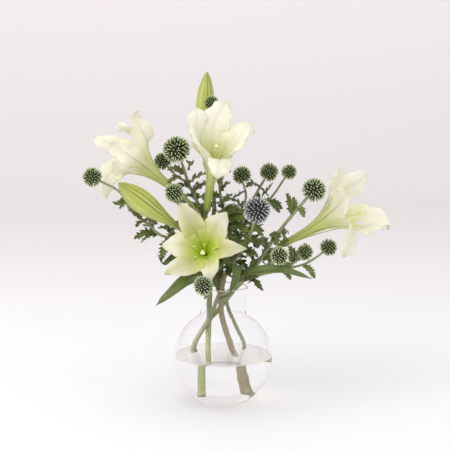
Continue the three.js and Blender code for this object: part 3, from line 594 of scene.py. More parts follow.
def make_water(material, surface):
    """Water: it fills the bowl up to its level and climbs the wall in a small meniscus. Its faces
    that look up have the surface's material."""
    radius = BOWL_RADIUS - WALL + WATER_IN_GLASS
    edge = radius * np.cos(np.arcsin((WATER_LEVEL + MENISCUS - BOWL_HEIGHT) / radius))
    out = edge * np.linspace(1, 0, 30) ** 0.35
    top = np.stack([out, WATER_LEVEL + MENISCUS * np.exp(-(edge - out) / 1.7)], 1)
    floor = FLOOR - WATER_IN_GLASS
    profile = np.concatenate([
        [(0, floor), (14, floor), (FLOOR_RADIUS, floor + 0.1), (34, floor + 0.6)],
        arc(radius, FLOOR + 2 - WATER_IN_GLASS, WATER_LEVEL + MENISCUS, 44)[:-1],
        top,
    ])
    shells = Shells()
    add_lathe(shells, profile)
    water = shells.piece("vase_water", material, "water", "water")
    look_apart(water, surface, "normal", 2, 0.3)


# ------------------------------------------------------------------ lilies
def flower_axes(facing):
    """Across, up and along: the flower's axis, the way nearest to up that is square to it, and
    the way square to both."""
    ahead = unit(facing)
    up = unit(np.array([0, 0, 1.0]) - ahead[2] * ahead)
    return np.cross(up, ahead), up, ahead


def midrib(flower, tepal, count):
    """Radius, height and lean of a tepal's midrib at even steps of its length. Up to the mouth
    the radius grows as a power of the height, the same for all six, and a Bezier curve leads on
    to the tip."""
    base, facing, (mouth_height, mouth_radius), *_ = flower
    across, up, ahead = flower_axes(facing)
    reach = np.subtract(tepal.tip, base)
    place = degrees(atan2(reach @ up, reach @ across))
    end = np.array([hypot(reach @ up, reach @ across), reach @ ahead])
    s = np.linspace(0, 1, 200)
    growth = mouth_radius - TUBE_RADIUS
    trumpet = np.stack([TUBE_RADIUS + growth * s**TUBE_POWER, mouth_height * s], 1)
    leaving = unit([growth * TUBE_POWER / mouth_height, 1])
    arriving = np.array([sin(radians(tepal.lean)), cos(radians(tepal.lean))])
    mouth = trumpet[-1]
    span = np.linalg.norm(end - mouth)
    first = mouth + tepal.hold_mouth * span * leaving
    second = end - tepal.hold_tip * span * arriving
    s = s[1:, None]
    bend = (1 - s) ** 3 * mouth + 3 * (1 - s) ** 2 * s * first + 3 * (1 - s) * s**2 * second + s**3 * end
    line = np.concatenate([trumpet, bend])
    length = np.concatenate([[0], np.cumsum(np.hypot(*np.diff(line, axis=0).T))])
    even = np.linspace(0, length[-1], count)
    radius, height = (np.interp(even, length, line[:, k]) for k in (0, 1))
    lean_line = np.arctan2(np.gradient(line[:, 0], length), np.gradient(line[:, 1], length))
    return radius, height, np.interp(even, length, lean_line), place


def rim_waves(t, v, frill, number):
    """How far a tepal's rim waves up and down, and how far sideways: sums of sines with 3.1, 7.3
    and 11.7 waves along it, unlike on its two sides, that grow towards the rim."""

    def wave(count, shift, start):
        return np.sin(2 * pi * (count * t[:, None] + shift * np.sign(v) + start * 0.37 * number))

    long, short, shortest = wave(3.1, 0.17, 1), wave(7.3, -0.23, 2), wave(11.7, 0.31, 3)
    frilled = ease(t, 0.5, 0.7)[:, None] * (1 - ease(t, 0.97, 1))[:, None]
    ruffle = np.abs(v) ** 2.2 * (2.1 * long + 1.2 * short) * frilled * (1 + 0.35 * frill)
    scallop = v * np.abs(v) ** 3 * (0.9 * short + 0.7 * shortest) * frilled * frill
    return ruffle, scallop


def add_tepal(shells, flower, tepal, outline, frill, number):
    """Tepal: rows square to its midrib. In the trumpet a row is an arc about the flower's axis,
    sin(c x) / c sideways and (1 - cos(c x)) / c inwards; past the mouth it opens into a shallow
    cup with a furrow down the middle and wavy edges, and a keel stands on the back. frill makes
    the waves taller and scallops the rim."""
    rows, columns = 72, 25
    base, facing, _, half_width, *_ = flower
    outer = tepal.whorl == "outer"
    across, up, ahead = flower_axes(facing)
    radius, height, lean, tip_place = midrib(flower, tepal, rows)
    radius = radius + (WHORL_STEP if outer else 0)
    t, v = np.linspace(0, 1, rows), np.linspace(-1, 1, columns)
    swerve = (tip_place - tepal.place + 180) % 360 - 180
    turn = np.radians(tepal.place + swerve * ease(t, 0.6, 1))[:, None]
    out = np.cos(turn) * across + np.sin(turn) * up
    line = np.array(base) + out * radius[:, None] + height[:, None] * ahead
    inward = -np.cos(lean)[:, None] * out + np.sin(lean)[:, None] * ahead
    ahead_line = unit(np.gradient(line, axis=0))
    side = unit(np.cross(ahead_line, inward))
    inward = np.cross(side, ahead_line)
    opened = ease(t, *OPENING)
    turned = np.radians(tepal.twist * opened)[:, None]
    side, inward = (
        np.cos(turned) * side + np.sin(turned) * inward, np.cos(turned) * inward - np.sin(turned) * side,
    )

    scale = half_width * tepal.width * (OUTER_WIDTH if outer else 1)
    half = along(np.clip(t + tepal.early * np.sin(pi * t), 0, 1), outline) * scale
    # In the trumpet no tepal is wider than a third of the round.
    half = np.minimum(half, 1.02 * radius + 60 * ease(t, 0.5, 0.75))
    curl = ((1 - opened) / radius + 0.012 * opened)[:, None]
    x = half[:, None] * v
    sideways, lift = np.sin(curl * x) / curl, (1 - np.cos(curl * x)) / curl
    free = ease(t, 0.3, 0.6)[:, None]
    furrow = 1.6 * bump(v, 0.13) * (half / half_width)[:, None] * free
    ruffle, scallop = rim_waves(t, v, frill, number)
    roll = 0.3 * half[:, None] * np.abs(v) ** 3 * ease(t, 0.6, 0.85)[:, None]
    grid = line[:, None] + (sideways + scallop)[..., None] * side[:, None]
    grid = grid + (lift - furrow + ruffle - roll)[..., None] * inward[:, None]
    thick = 0.42 - 0.22 * np.abs(v) ** 3 + 0 * x
    keel = 0.8 * bump(x, 1.5) * (1 - 0.7 * t)[:, None]
    add_sheet(shells, grid, normals_of(grid, inward), thick, thick + keel, t[:, None], v[None])


def make_tepals(name, flower, material, special):
    """One piece for each tepal. special gives some of them, by number, another material."""
    for number, tepal in enumerate(flower[5], start=1):
        shells = Shells()
        add_tepal(shells, flower, tepal, OUTLINES[name], FRILL[name], number + len(name))
        shells.piece(
            f"lily_{name}_tepal_{number}", special.get(number, material), "petal",
            f"flower_{name}_tepal_{number}",
        )


def add_ball(shells, centre, radius, rows=20, sides=24):
    """Ball of rings between two poles."""
    polar = np.linspace(0, pi, rows + 2)[1:-1]
    angle = 2 * pi * np.arange(sides) / sides
    rings = np.stack([
        np.sin(polar)[:, None] * np.cos(angle),
        np.sin(polar)[:, None] * np.sin(angle),
        np.repeat(-np.cos(polar)[:, None], sides, axis=1),
    ], -1)
    points = np.concatenate([rings.reshape(-1, 3), [(0, 0, -1), (0, 0, 1)]]) * radius + centre
    shells.add(points, (1.0, 0.0, 0.0), ring_faces(rows, sides), cap_faces(rows, sides))


def make_pistil(name, flower, material):
    """Six-ribbed ovary, a slender style and a three-lobed stigma."""
    base, facing, _, _, stigma, _ = flower
    ahead = unit(facing)
    path = smooth_path([base, np.add(base, 40 * ahead), stigma], 60)
    t = np.linspace(0, 1, len(path))
    radius = along(t, ((0, 2.0), (0.05, 2.5), (0.25, 2.4), (0.32, 1.1), (0.9, 1.15), (1, 1.7)))
    shells = Shells()
    add_tube(shells, path, radius, sides=18, ribs=6, rib_depth=0.06)
    tangent, side, other = frames_of(path)
    for lobe in range(3):
        turn = 2 * pi * lobe / 3
        centre = path[-1] + 1.5 * (cos(turn) * side[-1] + sin(turn) * other[-1]) + 0.8 * tangent[-1]
        add_ball(shells, centre, STIGMA_RADIUS * 0.6, rows=10, sides=14)
    shells.piece(f"lily_{name}_pistil", material, "pistil", f"flower_{name}_pistil")


def make_filaments(name, flower, material):
    """Six bare filaments that curve out from the style and end below the stigma."""
    base, facing, _, _, stigma, _ = flower
    across, up, _ = flower_axes(facing)
    reach = np.subtract(stigma, base)
    t = np.linspace(0, 1, 28)
    shells = Shells()
    for number in range(6):
        turn = radians(60 * number + 25)
        out = cos(turn) * across + sin(turn) * up
        length = 0.86 + 0.04 * sin(4 * number)
        spread = 2.8 + (FILAMENT_SPREAD + 1.5 * cos(3 * number)) * t**2.2
        path = np.array(base) + np.outer(0.03 + length * t, reach) + spread[:, None] * out
        radius = FILAMENT_RADIUS * (1.15 - 0.55 * t) + 0.5 * ease(t, 0.95, 1)
        add_tube(shells, path, radius, sides=8)
    shells.piece(f"lily_{name}_filaments", material, "pistil")


def make_bud(name, bud, material):
    """Bud: three outer tepals that meet at furrows, with the ribs of the inner three between
    them, so the radius is R(t) (1 + ribs - furrows) round the turn."""
    base, tip, widest = bud
    rows, sides = 80, 96
    base, tip = np.array(base, float), np.array(tip, float)
    t = np.linspace(0, 1, rows)
    path = base + np.outer(t, tip - base)
    _, side, other = frames_of(path)
    path = path + np.outer(1.6 * np.sin(pi * t), side[0])
    turn = np.arange(sides) / sides
    third = (turn * 3) % 1  # 0.5 in the middle of an outer tepal, 0 and 1 at its edges
    sixth = np.abs(third - 0.5)
    ridge = 0.05 * bump(third - 0.5, 0.09) + 0.045 * bump(np.minimum(third, 1 - third), 0.05)
    furrow = 0.085 * bump(sixth - 0.40, 0.035) + 0.02 * bump(sixth - 0.16, 0.05)
    body = ease(t, 0.02, 0.2)[:, None] * (1 - 0.4 * ease(t, 0.9, 1))[:, None]
    reach = widest * along(t, BUD_OUTLINE)[:, None] * (1 + (ridge - furrow) * body)
    skin = path[:, None] + reach[..., None] * ring_about(2 * pi * turn, side, other)
    groove = (ridge - furrow) / 0.1
    shells = Shells()
    add_rings(shells, path, skin, turn, groove, (0, 0))
    shells.piece(f"lily_bud_{name}", material, "bud", f"bud_{name}")


def seat_of(target):
    """Where the stalk of a flower or a bud ends, and the direction in which it points."""
    if target.startswith("bud_"):
        base, tip, _ = BUDS[target.removeprefix("bud_")]
        ahead = unit(np.subtract(tip, base))
    else:
        base, facing, *_ = FLOWERS[target]
        ahead = unit(facing)
    return np.array(base) - 0.6 * ahead, ahead


def make_lily_stem(name, branches, material):
    """Stem and side branches, each a tube that thins towards its end. Under a flower or a bud it
    swells into the receptacle, and small scars stand out where leaves were taken off."""
    shells = Shells()
    for route, (thick, thin), target in branches:
        points = [np.array(p, float) for p in route]
        if target:
            seat, ahead = seat_of(target)
            points += [seat - 15 * ahead, seat - 3 * ahead, seat]
        path = smooth_path(points, 26 * len(points))
        length = length_along(path)
        t = length / length[-1]
        radius = thick + (thin - thick) * t
        if target:
            top = BUD_SEAT_RADIUS if target.startswith("bud_") else FLOWER_SEAT_RADIUS
            radius = radius + (top - thin) * ease(length[-1] - length, RECEPTACLE_LENGTH, 0)
        else:
            scars = sum(bump(length - at, 1.6) for at in SCARS)
            radius = radius * (1 + 0.10 * scars) + 0.35 * bump(length, 3)
        add_tube(shells, path, radius, sides=20, ribs=3, rib_depth=0.02)
        if not target:
            add_stubs(shells, path, radius, length)
    shells.piece(f"lily_stalk_{name}", material, "lily_stem", f"lily_stem_{name}")


def add_stubs(shells, path, radius, length):
    """Short torn stubs where the lowest leaves were stripped off, alternately all round."""
    tangent, side, other = frames_of(path)
    for number, at in enumerate(STUBS):
        i = int(np.argmin(np.abs(length - at)))
        turn = GOLDEN_ANGLE * number + 0.6
        out = cos(turn) * side[i] + sin(turn) * other[i]
        start = path[i] + out * radius[i] * 0.6
        step = np.linspace(0, 1, 7)[:, None]
        stub = start + step * (3.2 * out + 1.6 * tangent[i]) + step**2 * 0.8 * tangent[i]
        add_tube(shells, stub, 1.5 * (1 - 0.7 * step[:, 0]), sides=8)


# ------------------------------------------------------------------ leaves
def make_lily_leaf(name, leaf, material):
    """Long blade: half width 1.15 w (0.25 + 0.75 sin(pi t^0.9)) that runs out at the tip, its
    sides folded up from the midrib and its edges slightly wavy."""
    midrib_points, half_width, fold, facing = leaf
    rows, columns = 70, 13
    path = smooth_path(midrib_points, rows)
    t, v = np.linspace(0, 1, rows), np.linspace(-1, 1, columns)
    tangent = unit(np.gradient(path, axis=0))
    side = unit(np.cross(tangent, facing))
    up = np.cross(side, tangent)
    half = 1.15 * half_width * (0.25 + 0.75 * np.sin(pi * t**0.9)) * (1 - ease(t, 0.9, 1.02))
    x = half[:, None] * v
    soft_fold = fold * (np.sqrt(x**2 + 1) - 1)
    wave = 0.5 * np.abs(v) ** 2 * np.sin(2 * pi * (2.3 * t[:, None] + 0.2 * np.sign(v)))
    twist = 0.25 * x * np.sin(2.6 * t + 1)[:, None]
    grid = path[:, None] + x[..., None] * side[:, None] + (soft_fold + wave + twist)[..., None] * up[:, None]
    thick = 0.32 + 0 * x
    keel = 0.5 * bump(x, 0.8) * (1 - t)[:, None]
    shells = Shells()
    add_sheet(shells, grid, normals_of(grid, up), thick, thick + keel, t[:, None], v[None])
    shells.piece(f"lily_blade_{name}", material, "lily_leaf", f"lily_leaf_{name}")


def add_spiny_leaf(shells, leaf, number):
    """Thistle leaf: a blade cut into forward-pointing teeth. A tooth rises as the 1.4th power of
    the way through the first four fifths of its lobe and falls off in the last; the teeth are
    swept towards the tip and bent up and down by turns."""
    root, middle, tip, half_width = leaf
    reach = np.linalg.norm(np.subtract(tip, root))
    lobes = max(3, round(reach / (0.9 * half_width)))
    rows, columns = 14 * lobes + 1, 9
    path = smooth_path([root, middle, tip], rows)
    t, v = np.linspace(0, 1, rows), np.linspace(-1, 1, columns)
    tangent = unit(np.gradient(path, axis=0))
    side = unit(np.cross(tangent, (0.25 * cos(number), -0.5, 0.8 + 0.3 * sin(number))))
    up = np.cross(side, tangent)

    def tooth(phase):
        share = (t * lobes + phase) % 1
        return np.where(share < 0.8, (share / 0.8) ** 1.4, (1 - share) / 0.2)

    body = np.sin(pi * np.clip(t, 0.02, 1) ** 0.7) ** 0.6 * (1 - 0.2 * t)
    left, right = (0.6 + 0.74 * tooth(phase) for phase in (0.0, 0.35))
    half = 1.2 * half_width * body[:, None] * np.where(v < 0, left[:, None], right[:, None]) + 0.3
    x = half * v
    sweep = 0.45 * np.abs(x)
    lobe_wave = np.sin(2 * pi * (t * lobes / 2)[:, None] + 1.3 * np.sign(v) + number)
    lift = 0.28 * np.abs(x) + 0.24 * np.abs(x) * np.abs(v) * lobe_wave
    grid = path[:, None] + x[..., None] * side[:, None]
    grid = grid + sweep[..., None] * tangent[:, None] + lift[..., None] * up[:, None]
    normal = np.broadcast_to(up[:, None], grid.shape)
    thick = 0.22 + 0 * x
    keel = 0.5 * bump(x, 0.6) * (1 - 0.8 * t)[:, None]
    add_sheet(shells, grid, normal, thick, thick + keel, t[:, None], v[None])


def is_free(point):
    """Whether a point lies outside every trumpet, bud and thistle head. A trumpet counts as a cone
    from its base to its mouth."""
    for base, facing, (height, radius), *_ in FLOWERS.values():
        ahead = unit(facing)
        reach = np.subtract(point, base)
        share = np.clip(reach @ ahead / height, 0, 1.25)
        if np.linalg.norm(reach - share * height * ahead) < TUBE_RADIUS + radius * share**2 + LEAF_CLEARANCE:
            return False
    for base, tip, radius in BUDS.values():
        line = np.subtract(tip, base)
        share = np.clip(np.subtract(point, base) @ line / (line @ line), 0, 1)
        if np.linalg.norm(np.subtract(point, base) - share * line) < radius + LEAF_CLEARANCE:
            return False
    return all(
        np.linalg.norm(np.subtract(point, centre)) > radius + LEAF_CLEARANCE for centre, radius in HEADS
    )


def grow_leaves(path, reach, main):
    """Leaves round a stem: root, middle, tip and half width of each one that stays free. A leaf
    leaves the stem outwards and forwards, arches and droops at its tip."""
    tangent, side, other = frames_of(path)
    length = length_along(path)
    step = LEAF_STEPS[0 if main else 1]
    leaves = []
    for number, at in enumerate(np.arange(step, length[-1] * (1 if main else BRANCH_SHARE) - 16, step)):
        i = int(np.searchsorted(length, at))
        if path[i, 2] < LEAF_START:
            continue
        turn = GOLDEN_ANGLE * number + path[0, 0]
        out = cos(turn) * side[i] + sin(turn) * other[i]
        share = max(at / length[-1], 0 if main else 0.45)
        long = LEAF_LENGTHS[0] + (LEAF_LENGTHS[1] - LEAF_LENGTHS[0]) * share
        long *= 1 + 0.18 * sin(5.3 * number)
        root = path[i] + out * reach[i] * 0.6
        ahead = unit(out + 0.45 * tangent[i])
        middle = root + long * (0.52 * ahead + (0, 0, 0.10))
        tip = root + long * (0.92 * ahead + (0, 0, -0.12 + 0.16 * sin(3.1 * number)))
        if is_free(middle) and is_free(tip):
            leaves.append((root, middle, tip, LEAF_SHAPE * long))
    return leaves


def make_thistle_stem(name, branches, leaves, stem_material, leaf_material):
    """Ribbed stem with its branches, and its leaves as a second mesh."""
    shells = Shells()
    leaves = list(leaves)
    for number, (route, (thick, thin), head) in enumerate(branches):
        points = [np.array(p, float) for p in route]
        if head:
            centre, radius = HEADS[head - 1]
            ahead = unit(np.subtract(centre, points[-1]))
            points.append(np.array(centre) - radius * 0.5 * ahead)
        path = smooth_path(points, 22 * len(points))
        t = np.linspace(0, 1, len(path))
        reach = thick + (thin - thick) * t
        length = length_along(path)
        knot = bump((length + 9 * number) % KNOT_STEP - KNOT_STEP / 2, 1.8)
        reach = reach * (1 + 0.16 * knot)
        low, high = WOODY.get(name, (0, 0)) if number == 0 else (0, 0)
        tint = ease(path[:, 2], low - 20, low + 12) * (1 - ease(path[:, 2], high - 25, high + 15))
        add_tube(shells, path, reach, sides=20, ribs=7, rib_depth=0.06, tint=tint)
        leaves += grow_leaves(path, reach, number == 0)
    shells.piece(f"thistle_stem_{name}_green", stem_material, "thistle_stem", f"thistle_stem_{name}")
    blades = Shells()
    for number, leaf in enumerate(leaves):
        add_spiny_leaf(blades, leaf, number)
    blades.piece(f"thistle_leaves_{name}", leaf_material, "thistle_stem")


# ------------------------------------------------------------------ thistle heads
def make_head(number, towards_stem, material):
    """Head: spikes on directions of the golden spiral, each a slim bud that swells at 0.8 of
    the radius and ends in a point, about a small core painted dark as shade between the spikes."""
    centre, radius = HEADS[number - 1]
    rng = np.random.default_rng(number)
    spikes = round(FEWEST_SPIKES + SPIKES_PER_MM * radius)
    k = np.arange(spikes) + 0.5
    height, angle = 1 - 2 * k / spikes, pi * (1 + 5**0.5) * k
    flat = np.sqrt(1 - height**2)
    direction = np.stack([flat * np.cos(angle), flat * np.sin(angle), height], 1)
    direction = unit(direction + rng.normal(0, 0.035, direction.shape))
    direction = direction[direction @ towards_stem < STEM_COSINE]
    count = len(direction)
    side = unit(np.cross(direction, (0.31, 0.52, 0.79)))
    other = np.cross(direction, side)
    # Rings of a spike: distance from the head's centre and half width, over the head's radius.
    share = np.array([0.45, 0.66, 0.80, 0.95])
    width = np.array([0.022, 0.052, 0.060, 0.034]) * (18 / radius) ** 0.3
    sides = 5
    turn = 2 * pi * np.arange(sides) / sides
    ring = ring_about(turn, side, other)
    length = rng.uniform(1.0, 1.1, (count, 1, 1, 1))
    rings = direction[:, None, None] * share[:, None, None] * length + ring[:, None] * width[:, None, None]
    tips = direction * length[:, 0, 0]
    roots = direction * 0.4
    points = np.concatenate([rings.reshape(count, -1, 3), roots[:, None], tips[:, None]], 1)
    each = points.shape[1]
    offset = (np.arange(count) * each)[:, None, None]
    reach = np.append(np.repeat(share, sides), [0.4, 1.0])
    places = np.stack([np.tile(reach, count), np.repeat(rng.random(count), each), np.zeros(count * each)], 1)
    shells = Shells()
    shells.add(
        points.reshape(-1, 3) * radius + centre, places,
        ring_faces(len(share), sides) + offset, cap_faces(len(share), sides) + offset,
    )
    # The core ball takes the root colour: painted shade between the spikes.
    add_ball(shells, np.array(centre), radius * 0.58)
    shells.places[-1] = np.zeros((len(shells.points[-1]), 3))
    shells.piece(f"globe_thistle_{number:02d}", material, "thistle_head", f"thistle_head_{number:02d}")


# ------------------------------------------------------------------ materials
def colour(text):
    """Linear colour of a hexadecimal screen colour."""
    screen = np.array([int(text[i:i + 2], 16) for i in (1, 3, 5)]) / 255
    linear = np.where(screen <= 0.04045, screen / 12.92, ((screen + 0.055) / 1.055) ** 2.4)
    return (*linear, 1.0)


class Look:
    """A material under construction."""

    def __init__(self, name):
        self.material = bpy.data.materials.new(name)
        self.material.use_nodes = True
        self.tree = self.material.node_tree
        self.tree.nodes.clear()
        self.output = self.add("OutputMaterial")

    def add(self, kind, inputs=(), **settings):
        """New node, whose inputs are set to numbers or colours or linked to sockets."""
        node = self.tree.nodes.new("ShaderNode" + kind)
        for key, value in settings.items():
            setattr(node, key, value)
        for key, value in dict(inputs).items():
            if isinstance(value, bpy.types.NodeSocket):
                self.tree.links.new(value, node.inputs[key])
            else:
                node.inputs[key].default_value = value
        return node

    def math(self, operation, first, second=0.0):
        return self.add("Math", {0: first, 1: second}, operation=operation).outputs[0]

    def mix(self, share, first, second):
        """Colour mix: sockets 6 and 7 are the two colours, output 2 the result."""
        return self.add("Mix", {0: share, 6: first, 7: second}, data_type="RGBA").outputs[2]

    def cover(self, tone, other, *limits):
        """The tone with another over it, whose share is a smooth step of a value."""
        return self.mix(self.step(*limits), tone, colour(other))

    def ramp(self, share, stops):
        node = self.add("ValToRGB", {0: share})
        ramp = node.color_ramp
        while len(ramp.elements) < len(stops):
            ramp.elements.new(0.5)
        for element, (position, tone) in zip(ramp.elements, stops):
            element.position = position
            element.color = colour(tone)
        return node.outputs[0]

    def step(self, value, low, high, start=0.0, end=1.0):
        """Smooth step from start to end while the value goes from low to high."""
        limits = {"Value": value, "From Min": low, "From Max": high, "To Min": start, "To Max": end}
        return self.add("MapRange", limits, interpolation_type="SMOOTHSTEP").outputs[0]

    def place(self):
        """The three numbers of a point's place on its shell."""
        vector = self.add("Attribute", attribute_name="place").outputs["Vector"]
        return self.add("SeparateXYZ", {0: vector}).outputs

    def noise(self, scale, detail, vector=None):
        vector = vector or self.add("TexCoord").outputs["Object"]
        return self.add("TexNoise", {"Vector": vector, "Scale": scale, "Detail": detail}).outputs["Fac"]

    def veins(self, across, narrow, along, short, layer, detail=3.0):
        """Noise that is drawn out along a shell: narrow and short say how often it changes."""
        vector = self.add("CombineXYZ", {
            0: self.math("MULTIPLY", across, narrow), 1: self.math("MULTIPLY", along, short), 2: layer,
        }).outputs[0]
        return self.noise(1.0, detail, vector)

    def bump(self, height, distance, strength=1.0):
        return self.add("Bump", {"Height": height, "Distance": distance, "Strength": strength}).outputs[0]

    def surface(self, tone, roughness, normal, **more):
        """Principled shader's output. Names of further inputs have _ for a space."""
        inputs = {"Base Color": tone, "Roughness": roughness, "Normal": normal}
        inputs |= {key.replace("_", " "): value for key, value in more.items()}
        return self.add("BsdfPrincipled", inputs).outputs[0]

    def thin(self, share, body, tone):
        """Finished material that lets a share of its light through from behind."""
        glow = self.add("BsdfTranslucent", {"Color": tone}).outputs[0]
        return self.done(self.add("MixShader", {0: share, 1: body, 2: glow}).outputs[0])

    def done(self, shader):
        self.tree.links.new(shader, self.output.inputs["Surface"])
        return self.material


def clear_look(name, tint, ior, straight):
    """Clear glass or water: rays from lamps pass straight through, so that it throws only a
    faint shadow. straight is the share of rays that leave it by its inner side unbent, which
    keeps the edges of the water from mirroring dark."""
    look = Look(name)
    body = look.add("BsdfPrincipled", {
        "Base Color": colour(tint), "Roughness": 0.0, "IOR": ior, "Transmission Weight": 1.0,
    })
    through = look.add("BsdfTransparent", {"Color": colour(tint)})
    lamp = look.add("LightPath").outputs["Is Shadow Ray"]
    if straight:
        leaving = look.math("MULTIPLY", look.add("NewGeometry").outputs["Backfacing"], straight)
        body = look.add("MixShader", {0: leaving, 1: body.outputs[0], 2: through.outputs[0]})
    return look.done(look.add("MixShader", {0: lamp, 1: body.outputs[0], 2: through.outputs[0]}).outputs[0])


def lip_highlight_look():
    """The vase's fire-polished lip, painted cream as a painted highlight: the pale line of light along it.
    """
    look = Look("glass_lip_painted_highlight")
    ripple = look.noise(60.0, 2.0)
    # Painted highlight: two creams mixed by noise.
    tone = look.mix(ripple, colour("#fbfae6"), colour("#f0efd0"))
    body = look.add("BsdfPrincipled", {
        "Base Color": tone, "Roughness": 0.08, "IOR": 1.3, "Transmission Weight": 0.35,
    })
    return look.done(body.outputs[0])


def petal_look(name, throat, painted_light_strength, cast):
    """Cream tepal: green-yellow in the throat, a green midrib that fades out, a greener back with
    a dark line on the keel, a green tip, and fine veins along it. The third argument sets painted
    light: the throat's inner face glows by emission. The fourth is how much olive painted shade
    lies over the middle of its blade and deepens its green tip."""
    look = Look(name)
    t, v, inside = look.place()
    from_middle = look.math("ABSOLUTE", v)
    inner = look.ramp(t, throat)
    back = look.ramp(t, (
        (0.0, "#cddd62"), (0.2, "#e6ee84"), (0.38, "#f0f3aa"), (0.52, "#f4f4c6"), (0.68, "#fdfbf0"),
        (0.9, "#fdfbf0"),
    ))
    streak_width = look.step(t, 0.3, 0.7, 0.2, 0.06)
    streak = look.step(look.math("DIVIDE", from_middle, streak_width), 0.2, 1.0)
    streak = look.math("SUBTRACT", 1.0, streak)
    streak = look.math("MULTIPLY", streak, look.step(t, 0.42, 0.66, 0.75, 0.0))
    inner = look.mix(streak, inner, colour("#8aa80f"))
    keel = look.step(from_middle, 0.01, 0.1, 1, 0)
    keel = look.math("MULTIPLY", keel, look.step(t, 0.45, 0.95, 0.65, 0.1))
    back = look.mix(keel, back, colour("#8e9a45"))
    blend = look.mix(inside, back, inner)
    # The green tip, deepened by the olive painted shade.
    blend = look.cover(blend, "#b9c176", t, 0.93, 1.0, 0.0, 0.12 + cast)
    veins = look.veins(v, 26.0, t, 3.0, inside)
    blend = look.cover(blend, "#dcdfb0", veins, 0.42, 0.62, 0.0, 0.16)
    blend = look.cover(blend, "#ffffff", look.noise(90.0, 3.0), 0.35, 0.7, 0.0, 0.06)
    blend = look.cover(blend, "#e2e6b6", look.noise(22.0, 2.0), 0.46, 0.66, 0.0, 0.22)
    # Painted shade: olive over the middle of the blade, beyond 0.4 of its length.
    olive_painted_shade = look.step(from_middle, 0.35, 1.0, cast, 0.3 * cast)
    olive_painted_shade = look.math("MULTIPLY", olive_painted_shade, look.step(t, 0.4, 0.7))
    blend = look.mix(olive_painted_shade, blend, colour("#c5c27c"))
    # Painted light: the throat's inner face glows by emission in its own colour.
    painted_throat_light = look.math("MULTIPLY", inside, look.step(t, 0.3, 0.78, painted_light_strength, 0.0))
    body = look.surface(
        blend, 0.42, look.bump(veins, 0.0006, 0.45), Sheen_Weight=0.15, Sheen_Roughness=0.5,
        Emission_Color=inner, Emission_Strength=painted_throat_light,
    )
    return look.thin(0.45, body, blend)


def pistil_look():
    """Pale green style and filaments, brighter towards their ends."""
    look = Look("lily_pistil")
    t, _, _ = look.place()
    tone = look.ramp(t, ((0.0, "#a8bf4e"), (0.6, "#c9d67c"), (1.0, "#e3e5a4")))
    grain = look.noise(700.0, 2.0)
    tone = look.cover(tone, "#f0eec0", grain, 0.4, 0.7, 0.0, 0.25)
    return look.done(look.surface(
        tone, 0.35, look.bump(grain, 0.0003, 0.4), Subsurface_Weight=0.1,
        Subsurface_Radius=(0.002, 0.002, 0.001),
    ))


def bud_look():
    """Green bud: darker in its furrows as painted shade, pale on its ribs and in a belt below the tip."""
    look = Look("lily_bud")
    t, turn, groove = look.place()
    tone = look.ramp(t, (
        (0.0, "#8d9a3c"), (0.25, "#a9b24f"), (0.6, "#b4bc58"), (0.85, "#a3ab4a"), (1.0, "#858f35"),
    ))
    tone = look.cover(tone, "#d0d289", groove, 0.05, 0.5, 0.0, 0.45)
    # Painted shade: the furrows are darkened.
    tone = look.cover(tone, "#5f6c1f", groove, -0.75, -0.1, 0.8, 0.0)
    veins = look.veins(turn, 60.0, t, 4.0, 0.0)
    tone = look.cover(tone, "#8c9a3e", veins, 0.4, 0.65, 0.0, 0.22)
    return look.done(look.surface(tone, 0.38, look.bump(veins, 0.0006, 0.5), Coat_Weight=0.08))


def stem_look(name, green, pale, dry, wood, low_paleness):
    """Stem: green with paler streaks along it, dark and pale flecks, brown and woody where its
    tint is 1. The last argument is how much paler it is low down, fading out between 70 and 150 mm."""
    look = Look(name)
    t, turn, tint = look.place()
    streaks = look.veins(turn, 14.0, t, 5.0, tint)
    fresh = look.cover(colour(green), pale, streaks, 0.35, 0.65)
    fresh = look.cover(fresh, dry, look.noise(60.0, 3.0), 0.45, 0.75, 0.0, 0.5)
    tone = look.mix(tint, fresh, look.cover(colour(wood), dry, streaks, 0.3, 0.7))
    flecks = look.noise(420.0, 3.0)
    tone = look.cover(tone, "#cfcbb0", flecks, 0.5, 0.68, 0.0, 0.35)
    tone = look.cover(tone, "#4f5636", flecks, 0.3, 0.42, 0.4, 0.0)
    height = look.add("SeparateXYZ", {0: look.add("TexCoord").outputs["Object"]}).outputs[2]
    # Paler low down, fading out between 70 and 150 mm of height.
    paler_low_down = look.step(height, 0.07, 0.15, low_paleness, 0.0)
    paler_low_down = look.math("MULTIPLY", paler_low_down, look.step(tint, 0, 1, 1.0, 0.3))
    tone = look.mix(paler_low_down, tone, colour("#dadcc0"))
    return look.done(look.surface(tone, 0.48, look.bump(streaks, 0.0008, 0.7)))


def leaf_look(name, top, top_pale, under, vein, bumpiness):
    """Leaf: green above, paler underneath, with a pale midrib and veins."""
    look = Look(name)
    t, v, upper = look.place()
    from_middle = look.math("ABSOLUTE", v)
    veins = look.veins(v, 9.0, t, 2.5, upper, 2.0)
    patches = look.noise(45.0, 3.0)
    face = look.cover(colour(top), top_pale, patches, 0.35, 0.7)
    face = look.cover(face, vein, veins, 0.45, 0.6, 0.0, 0.3)
    back = look.cover(colour(under), vein, patches, 0.35, 0.7, 0.0, 0.5)
    tone = look.mix(upper, back, face)
    rib = look.step(from_middle, 0.0, 0.12, 0.7, 0.0)
    rib = look.math("MULTIPLY", rib, look.step(t, 0.6, 1.0, 1.0, 0.2))
    tone = look.mix(rib, tone, colour(vein))
    return look.thin(0.15, look.surface(tone, 0.42, look.bump(veins, 0.0008, bumpiness)), tone)


